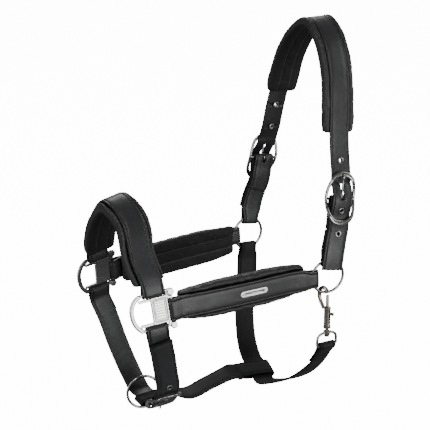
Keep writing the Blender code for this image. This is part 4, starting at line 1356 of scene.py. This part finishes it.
def emboss(made, place, axes):
    """Sinks a plain panel into the plate's face, leaving a raised rim with a small bead inside it."""
    along, up, outward = axes
    middle = place(2.4, 3.0, 0.0)
    points = points_of(made.data)
    local = points - middle
    u = local @ along
    v = local @ up
    h = local @ outward
    inside = np.minimum(PANEL_U - np.abs(u), PANEL_V - np.abs(v))
    depth = np.clip(inside / 0.7, 0.0, 1.0) * PANEL_DEEP
    bead = np.exp(-(((inside - 1.9) / 0.42) ** 2)) * 0.38
    flute = 0.16 * np.clip((inside - 3.0) / 0.8, 0.0, 1.0) * (0.5 + 0.5 * np.cos(2 * math.pi * v / 3.1))
    move = np.where((h > 0.6) & (inside > 0.0), -depth + bead * (inside > 0.4) + flute, 0.0)
    points += np.outer(move, outward)
    set_points(made.data, points)


# ---------------------------------------------------------------- the build
def tongue_slot(axes):
    """Cuts the strap where a buckle's tongue lies in it."""
    return block(buckle_point(axes, 7.5, 5.0), axes[1:], (18.6, TONGUE_SLOT + 0.2, 12.0))


def bar_slot(axes):
    """Cuts the strap folded round a buckle's bar, where the tongue turns."""
    return block(axes[0], axes[1:], (11.0, TONGUE_SLOT, 13.0))


def eyelet(node, route, axes, a, h):
    """Sets an eyelet a along the strap and h above it from a buckle's bar; returns its hole in the strap."""
    point, _, _, normal = route.frame(route.nearest(buckle_point(axes, a, h)))
    piece("eyelet_" + node, eyelet_mesh(point, normal), "nickel", [node], smooth_angle=50.0)
    return rod(point, normal, 2.7, 9.0, 20)


def buckle(name, axes, frame_node, tongue_node, body):
    made = piece(f"oval_buckle_{name}", buckle_mesh(axes), "nickel", [frame_node])
    apply_boolean(made, bar_mesh(axes), "UNION")
    piece(f"buckle_pin_{name}", tongue_mesh(axes), "nickel", [tongue_node], body)


def crown():
    route = crown_route()
    places = [(s, 0.0) for s in spread(0.0, route.length, STEP)]
    cutters = []
    for side, name in SIDES:
        axes = buckle_axes(side)
        cutters.append(tongue_slot(axes))
        for number, a in enumerate(HOLES_FROM_BAR[side], 1):
            cutters.append(eyelet(f"crown_eyelet_{name}_{number}", route, axes, a, 2.0))
    strap("crown_strap_leather", ribbon(places, route, CROWN_T), ["crown_strap"], cutters)
    top = CROWN_T / 2 + 0.12
    rows = edge_rows(route, 6.0, route.length - 6.0, STRAP_W, top, both_faces=False)
    rows.append(seam_across(route, 4.5, SEAM_HALF, top))
    rows.append(seam_across(route, route.length - 4.5, SEAM_HALF, top))
    stitches("crown_strap_stitches", rows)
    first = route.nearest(vec(24.5, -69.0, 161.0))
    last = route.nearest(vec(27.5, 63.5, 183.0))
    shape = (CROWN_PAD_W, 37.0, 14.0)
    padded_strip("crown_pad", "crown_pad", route, first, last, shape, -CROWN_T / 2 - GAP, ROLL_RISE)


def buckles():
    for side, name in SIDES:
        axes = buckle_axes(side)
        buckle(name, axes, f"buckle_frame_{name}", f"buckle_tongue_{name}", f"{name}_tongue")
        route = buckle_strap_route(side)
        start = (0.0, RING_WIRE, RING_SAGITTA)
        end = (0.0, BUCKLE_BAR, 0.0)
        mesh = ribbon(doubled_places(route, start, end), route, LAYER, ring_taper)
        strap(f"buckle_strap_{name}_leather", mesh, [f"buckle_strap_{name}"], [bar_slot(axes)])
        rows = edge_rows(route, RING_SAGITTA + 12.0, route.length - 13.0, ring_taper, SEAM_H)
        rows.append(seam_across(route, RING_SAGITTA + 10.5, SEAM_HALF - 1.0, SEAM_H))
        stitches(f"buckle_strap_{name}_stitches", rows)
        centre, along, up = ring_axes(side)
        piece(f"round_ring_{name}", ring_mesh(centre, along, up, RING_R), "nickel", [f"cheek_ring_{name}"])


def cheeks():
    for side, name in SIDES:
        route = cheek_route(side)
        start = (0.0, FITTING_BAR, 0.0)
        end = (0.0, RING_WIRE, RING_SAGITTA)

        def width(s):
            return ring_taper(route.length - s)

        mesh = ribbon(doubled_places(route, start, end), route, LAYER, width)
        cutters = []
        if side == NEAR:
            cutters = name_plate(route)
        strap(f"cheek_strap_{name}_leather", mesh, [f"cheek_strap_{name}"], cutters)
        first, last = 15.0, route.length - RING_SAGITTA - 13.0
        rows = edge_rows(route, first, last, width, SEAM_H, both_faces=False)
        rows.append(seam_across(route, 13.0, SEAM_HALF, SEAM_H))
        rows.append(seam_across(route, 19.0, SEAM_HALF, SEAM_H))
        rows.append(seam_across(route, last + 2.5, SEAM_HALF - 1.6, SEAM_H))
        rows.append(seam_cross(route, last - 12.0, last + 1.0, SEAM_HALF - 1.4, SEAM_H))
        stitches(f"cheek_strap_{name}_stitches", rows)
        names = (f"cheek_pad_{name}", f"cheek_{name}_pad")
        shape = (CHEEK_PAD_W, 33.0, 60.0)
        padded_strip(*names, route, 9.0, route.length - 12.0, shape, DOUBLED_TOP, ROLL_RISE_DOUBLED)
        fitting(name, side)


def name_plate(route):
    """The riveted plate, with a plain engraved border; returns the pins' holes in the strap."""
    s = route.nearest(vec(*PLATE_NEAR))
    point, tangent, width, normal = route.frame(s)
    centre = point + normal * (LAYER + SEWN_GAP / 2 + 0.3 + PLATE_T / 2)
    half = PLATE_L / 2
    levels = [
        (-PLATE_T / 2, 0.0), (PLATE_T / 2 - 0.25, 0.0), (PLATE_T / 2 - 0.06, 0.08), (PLATE_T / 2, 0.3),
        (PLATE_T / 2, 0.75), (PLATE_T / 2 - 0.2, 0.9), (PLATE_T / 2 - 0.2, 1.15), (PLATE_T / 2, 1.3),
    ]
    rings = []
    for h, inset in levels:
        radius = PLATE_W / 2 - inset
        reach = half - PLATE_W / 2
        ring = []
        for sign in (1, -1):
            for k in range(17):
                a = math.pi * k / 16 - math.pi / 2
                ring.append((sign * (reach + radius * math.cos(a)), sign * radius * math.sin(a)))
        rings.append([centre + tangent * u + width * v + normal * h for u, v in ring])
    plate = piece("round_ended_plate", loft(rings), "cast", ["name_plate"], smooth_angle=30.0)
    holes = []
    cuts = []
    for number, sign in enumerate((1, -1), 1):
        place = centre + tangent * sign * PIN_OUT
        cuts.append(rod(place, normal, 0.95, 6.0, 20))
        holes.append(rod(point + tangent * sign * PIN_OUT + normal * 1.4, normal, 1.0, 2.7, 16))
        line = [place + normal * z for z in (-2.2, 0.75, 0.78, 0.95, 1.25, 1.45, 1.5)]
        radii = [0.65, 0.65, 1.45, 1.5, 1.25, 0.7, 0.1]
        node = f"name_plate_pin_{number}"
        piece("domed_" + node, tube(line, radii, 20, hint=width), "cast", [node], smooth_angle=45.0)
    apply_boolean(plate, joined(cuts), "DIFFERENCE")
    return holes


def nose():
    route = nose_route()
    ends = (0.0, FITTING_BAR, 0.0)
    strap("nose_strap_leather", ribbon(doubled_places(route, ends, ends), route, LAYER), ["nose_strap"])
    first, last = 15.0, route.length - 15.0
    rows = edge_rows(route, first, last, STRAP_W, SEAM_H, both_faces=False)
    for s in (12.0, 15.0, route.length - 12.0, route.length - 15.0):
        rows.append(seam_across(route, s, SEAM_HALF, SEAM_H))
    stitches("nose_strap_stitches", rows)
    names = ("nose_pad", "nose_pad")
    shape = (NOSE_PAD_W, 36.0, 30.0)
    padded_strip(*names, route, 11.0, route.length - 11.0, shape, DOUBLED_TOP, ROLL_RISE_DOUBLED)


def chin():
    axes = chin_buckle_axes()
    short = chin_short_route()
    start = (0.0, FITTING_BAR, 0.0)
    mesh = ribbon(doubled_places(short, start, (0.0, BUCKLE_BAR, 0.0)), short, LAYER)
    strap("chin_short_leather", mesh, ["chin_buckle_strap"], [bar_slot(axes)])
    rows = edge_rows(short, 15.0, short.length - 13.0, STRAP_W, SEAM_H)
    rows.append(seam_across(short, 12.5, SEAM_HALF, SEAM_H))
    stitches("chin_short_stitches", rows)
    route = chin_route()
    cutters = [tongue_slot(axes)]
    for number, a in enumerate(CHIN_HOLES, 1):
        cutters.append(eyelet(f"chin_eyelet_{number}", route, axes, -a, 3.0))
    mesh = ribbon(folded_places(route, start, None), route, LAYER)
    strap("chin_strap_leather", mesh, ["chin_strap"], cutters)
    half = (LAYER + SEWN_GAP) / 2

    def lift(s):
        return half * max(0.0, min(1.0, (110.0 - s) / 50.0)) + LAYER / 2 + 0.1

    rows = []
    for sign in (1, -1):
        rows.append(seam_along(route, 15.0, route.length - 5.0, sign * SEAM_HALF, lift))
        rows.append(seam_along(route, 15.0, 34.0, sign * SEAM_HALF, -SEAM_H))
    rows.append(seam_across(route, 12.5, SEAM_HALF, SEAM_H))
    rows.append(seam_across(route, route.length - 3.8, SEAM_HALF, LAYER / 2 + 0.1))
    stitches("chin_strap_stitches", rows)
    buckle("chin", axes, "chin_buckle_frame", "chin_buckle_tongue", "chin_tongue")
    turn = math.radians(LEAD_RING_TURN)
    along = vec(math.cos(turn), math.sin(turn), 0.0)
    mesh = ring_mesh(vec(*LEAD_RING_C), along, vec(0.0, 0.0, 1.0), RING_R + 0.3)
    piece("round_ring_lead", mesh, "nickel", ["lead_ring"], "lead_ring")


def jaw_and_throat():
    route = jaw_route()
    ends = (0.0, CROWN_T / 2, LOOP_STRAIGHT)

    def jaw_width(s):
        t = max(0.0, min(1.0, (s - LOOP_STRAIGHT - 5.0) / 14.0))
        return JAW_FRONT_W - 0.8 + (JAW_W - JAW_FRONT_W + 0.8) * t

    places = folded_places(route, ends, ends, back=JAW_BACK)
    strap("jaw_strap_leather", ribbon(places, route, LAYER, jaw_width), ["jaw_strap"], look="dull")
    first, last = LOOP_STRAIGHT + 14.0, route.length - LOOP_STRAIGHT - 14.0
    rows = edge_rows(route, first, last, jaw_width, SEAM_H, both_faces=False)
    for s in (LOOP_STRAIGHT + 8.0, LOOP_STRAIGHT + 22.0, route.length - LOOP_STRAIGHT - 8.0):
        rows.append(seam_across(route, s, jaw_width(s) / 2 - STITCH_IN, SEAM_H))
    stitches("jaw_strap_stitches", rows)

    route = throat_route()

    def throat_width(s):
        t = max(0.0, min(1.0, (s - route.length + 60.0) / 30.0))
        return ring_taper(s) + (SNAP_EYE_W - 1.5 - STRAP_W) * t

    places = folded_places(route, (0.0, RING_WIRE, RING_SAGITTA), (0.0, SNAP_EYE_WIRE, 0.0))
    strap("throat_strap_leather", ribbon(places, route, LAYER, throat_width), ["throat_strap"], look="dull")
    first, last = RING_SAGITTA + 14.0, route.length - 15.0
    rows = edge_rows(route, first, last, throat_width, SEAM_H, both_faces=False)
    rows.append(seam_across(route, first - 2.0, SEAM_HALF - 1.0, SEAM_H))
    rows.append(seam_across(route, first + 24.0, SEAM_HALF, SEAM_H))
    for s in (route.length - 12.0, route.length - 34.0):
        rows.append(seam_across(route, s, throat_width(s) / 2 - STITCH_IN, SEAM_H))
    stitches("throat_strap_stitches", rows)


def snap_point(p, drop):
    """A point in the hook's plane, p out from the snap's axis and drop below the ring's wire."""
    _, axis, reach = snap_axes()
    return axis + reach * p - vec(0.0, 0.0, drop)


def bolt_snap():
    _, _, reach = snap_axes()
    down = vec(0.0, 0.0, -1.0)
    side = np.cross(reach, down)
    half = SNAP_EYE_W / 2 + 1.9
    outline = [
        (-half, 61.5), (-half, 56.0), (-half + 1.6, 51.5), (-half + 6.0, 49.0), (0.0, SNAP_EYE_TOP),
        (half - 6.0, 49.0), (half - 1.6, 51.5), (half, 56.0), (half, 61.5),
    ]
    eye_route = Route([snap_point(0.0, d) + vec(x, 0.0, 0.0) for x, d in outline], [vec(0.0, 1.0, 0.0)])
    line = [eye_route.point(s) for s in spread(0.0, eye_route.length, 0.9)]

    def corner(sign, k):
        a = math.pi / 2 * k / 5
        out = half - 2.5 + 2.5 * math.cos(a)
        return snap_point(0.0, 61.5 + 2.5 * math.sin(a)) + vec(sign * out, 0.0, 0.0)

    line += [corner(1, k) for k in range(1, 6)]
    line += [snap_point(0.0, SNAP_BAR_DROP) + vec(x, 0.0, 0.0) for x in spread(half - 3.5, -half + 3.5, 1.0)]
    line += [corner(-1, k) for k in range(4, 0, -1)]
    mesh = tube(line, SNAP_EYE_WIRE, 16, closed=True, hint=vec(0.0, 1.0, 0.0))
    eye = piece("swivel_eye", mesh, "warm", ["snap_eye"])
    collar = [(2.0, 46.0), (3.6, 45.8), (4.1, 46.3), (4.1, 49.6), (3.6, 50.6), (2.0, 50.8)]
    apply_boolean(eye, turned(collar, snap_point(0.0, 0.0), down, 36), "UNION")
    apply_boolean(eye, rod(snap_point(0.0, 48.3), down, 2.0, 12.0, 28), "DIFFERENCE")

    # The bore, the barrel's outer face with a bead at each end, and the swivel's stem with its head.
    profile = [(0.0, BARREL_FLOOR), (BORE_R, BARREL_FLOOR), (BORE_R, BARREL_TOP + 0.2)]
    profile += [(BORE_R + 0.4, BARREL_TOP), (BARREL_R - 0.5, BARREL_TOP), (BARREL_R, BARREL_TOP + 0.5)]
    profile += [(BARREL_R, BARREL_TOP + 2.0), (BARREL_R - 0.45, BARREL_TOP + 2.4)]
    profile += [(BARREL_R - 0.45, BARREL_FLOOR - 1.2), (BARREL_R, BARREL_FLOOR - 0.8)]
    profile += [(BARREL_R, BARREL_FLOOR + 1.2), (BARREL_R - 0.5, BARREL_FLOOR + 1.8), (2.2, BARREL_FLOOR + 2.0)]
    profile += [(1.6, BARREL_FLOOR + 2.5), (1.6, 51.1), (2.6, 51.1), (3.0, 51.5), (3.0, 52.7), (2.4, 53.2)]
    profile.append((0.0, 53.3))
    body = piece(
        "snap_barrel_and_hook", turned(profile, snap_point(0.0, 0.0), down, 40), "warm", ["snap_hook"],
        "snap_hook",
    )
    hook = [
        (-4.7, 20.0), (-7.4, 15.6), (-10.6, 9.6), (-11.7, 3.0), (-10.2, -3.0), (-6.4, -5.6),
        (-2.4, -4.4), (0.0, -0.6),
    ]
    hook_route = Route([snap_point(p, d) for p, d in hook], [vec(1.0, 0.0, 0.0)])
    stops = spread(0.0, hook_route.length, 0.7)
    radii = [HOOK_WIRE * (1.0 + 0.12 * math.sin(math.pi * s / hook_route.length)) for s in stops]
    radii[-1] = HOOK_WIRE * 0.7
    mesh = tube([hook_route.point(s) for s in stops], radii, 18, hint=side)
    apply_boolean(body, mesh, "UNION")
    apply_boolean(body, block(snap_point(4.0, 28.5), (reach, side, down), (6.0, 3.0, 14.0)), "DIFFERENCE")

    line = [snap_point(0.0, d) for d in (2.1, 2.4, 3.0, 28.0, 28.4, 28.5)]
    bolt = piece(
        "snap_bolt_rod", tube(line, [1.2, 1.8, BOLT_R, BOLT_R, 1.9, 1.5], 24, hint=side), "warm",
        ["snap_bolt"], "snap_bolt",
    )
    tab = [
        (1.0, 22.6), (7.2, 22.3), (8.2, 21.9), (8.9, 22.3), (8.9, 25.7), (8.2, 26.1), (7.2, 25.7), (1.0, 25.4),
    ]
    rings = [
        [snap_point(p, 24.0 + (d - 24.0) * k) + side * w for p, d in tab]
        for w, k in ((-1.1, 0.86), (-0.8, 1.0), (0.8, 1.0), (1.1, 0.86))
    ]
    apply_boolean(bolt, loft(rings), "UNION")


def carried_over():
    """The spring stays as the CAD has it, with the detailed material."""
    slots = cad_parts["snap_spring"].data.materials
    slots.clear()
    slots.append(LOOKS["steel"])


# ---------------------------------------------------------------- studio
def area_light(name, place, target, size, power):
    data = bpy.data.lights.new(name, "AREA")
    data.shape = "RECTANGLE"
    data.size, data.size_y = size
    data.energy = power
    made = bpy.data.objects.new(name, data)
    made.location = place
    made.rotation_euler = (Vector(target) - Vector(place)).to_track_quat("-Z", "Y").to_euler()
    bpy.context.collection.objects.link(made)


def studio():
    mesh = bpy.data.meshes.new("studio_floor")
    low = CAD_BOX[0][2] - FLOOR_BELOW
    corners = ((-1, -1), (1, -1), (1, 1), (-1, 1))
    mesh.from_pydata([(x * FLOOR_REACH, y * FLOOR_REACH, low) for x, y in corners], [], [(0, 1, 2, 3)])
    mesh.materials.append(floor_material())
    floor = bpy.data.objects.new("studio_floor", mesh)
    bpy.context.collection.objects.link(floor)
    floor.visible_diffuse = False
    floor.visible_glossy = False
    world = bpy.data.worlds.new("studio")
    bpy.context.scene.world = world
    world.use_nodes = True
    back = world.node_tree.nodes["Background"]
    back.inputs["Color"].default_value = (1.0, 1.0, 1.0, 1.0)
    back.inputs["Strength"].default_value = WORLD_LIGHT
    aim = (-0.05, 0.0, -0.22)
    area_light("front_box", (0.25, -2.3, -0.42), (-0.2, -0.08, -0.28), (1.5, 1.1), 40.0)
    area_light("key", (-1.5, -1.3, 1.5), aim, (0.9, 0.9), 30.0)
    area_light("right_strip", (1.7, -0.9, 0.5), aim, (0.35, 1.8), 16.0)
    area_light("left_strip", (-2.0, -0.3, 0.1), aim, (0.3, 1.8), 16.0)
    area_light("top_rim", (0.6, 1.9, 1.5), aim, (1.6, 0.6), 30.0)
    data = bpy.data.cameras.new("camera")
    data.lens = CAMERA_LENS
    data.sensor_width = 36.0
    data.clip_end = 100.0
    camera = bpy.data.objects.new("camera", data)
    turn = math.radians(CAMERA_AZIMUTH)
    rise = math.radians(CAMERA_RISE)
    back_way = Vector((math.sin(turn) * math.cos(rise), -math.cos(turn) * math.cos(rise), math.sin(rise)))
    camera.location = CAMERA_PLACE
    camera.rotation_euler = (-back_way).to_track_quat("-Z", "Y").to_euler()
    bpy.context.collection.objects.link(camera)
    bpy.context.scene.camera = camera


crown()
buckles()
cheeks()
nose()
chin()
jaw_and_throat()
bolt_snap()
carried_over()
studio()
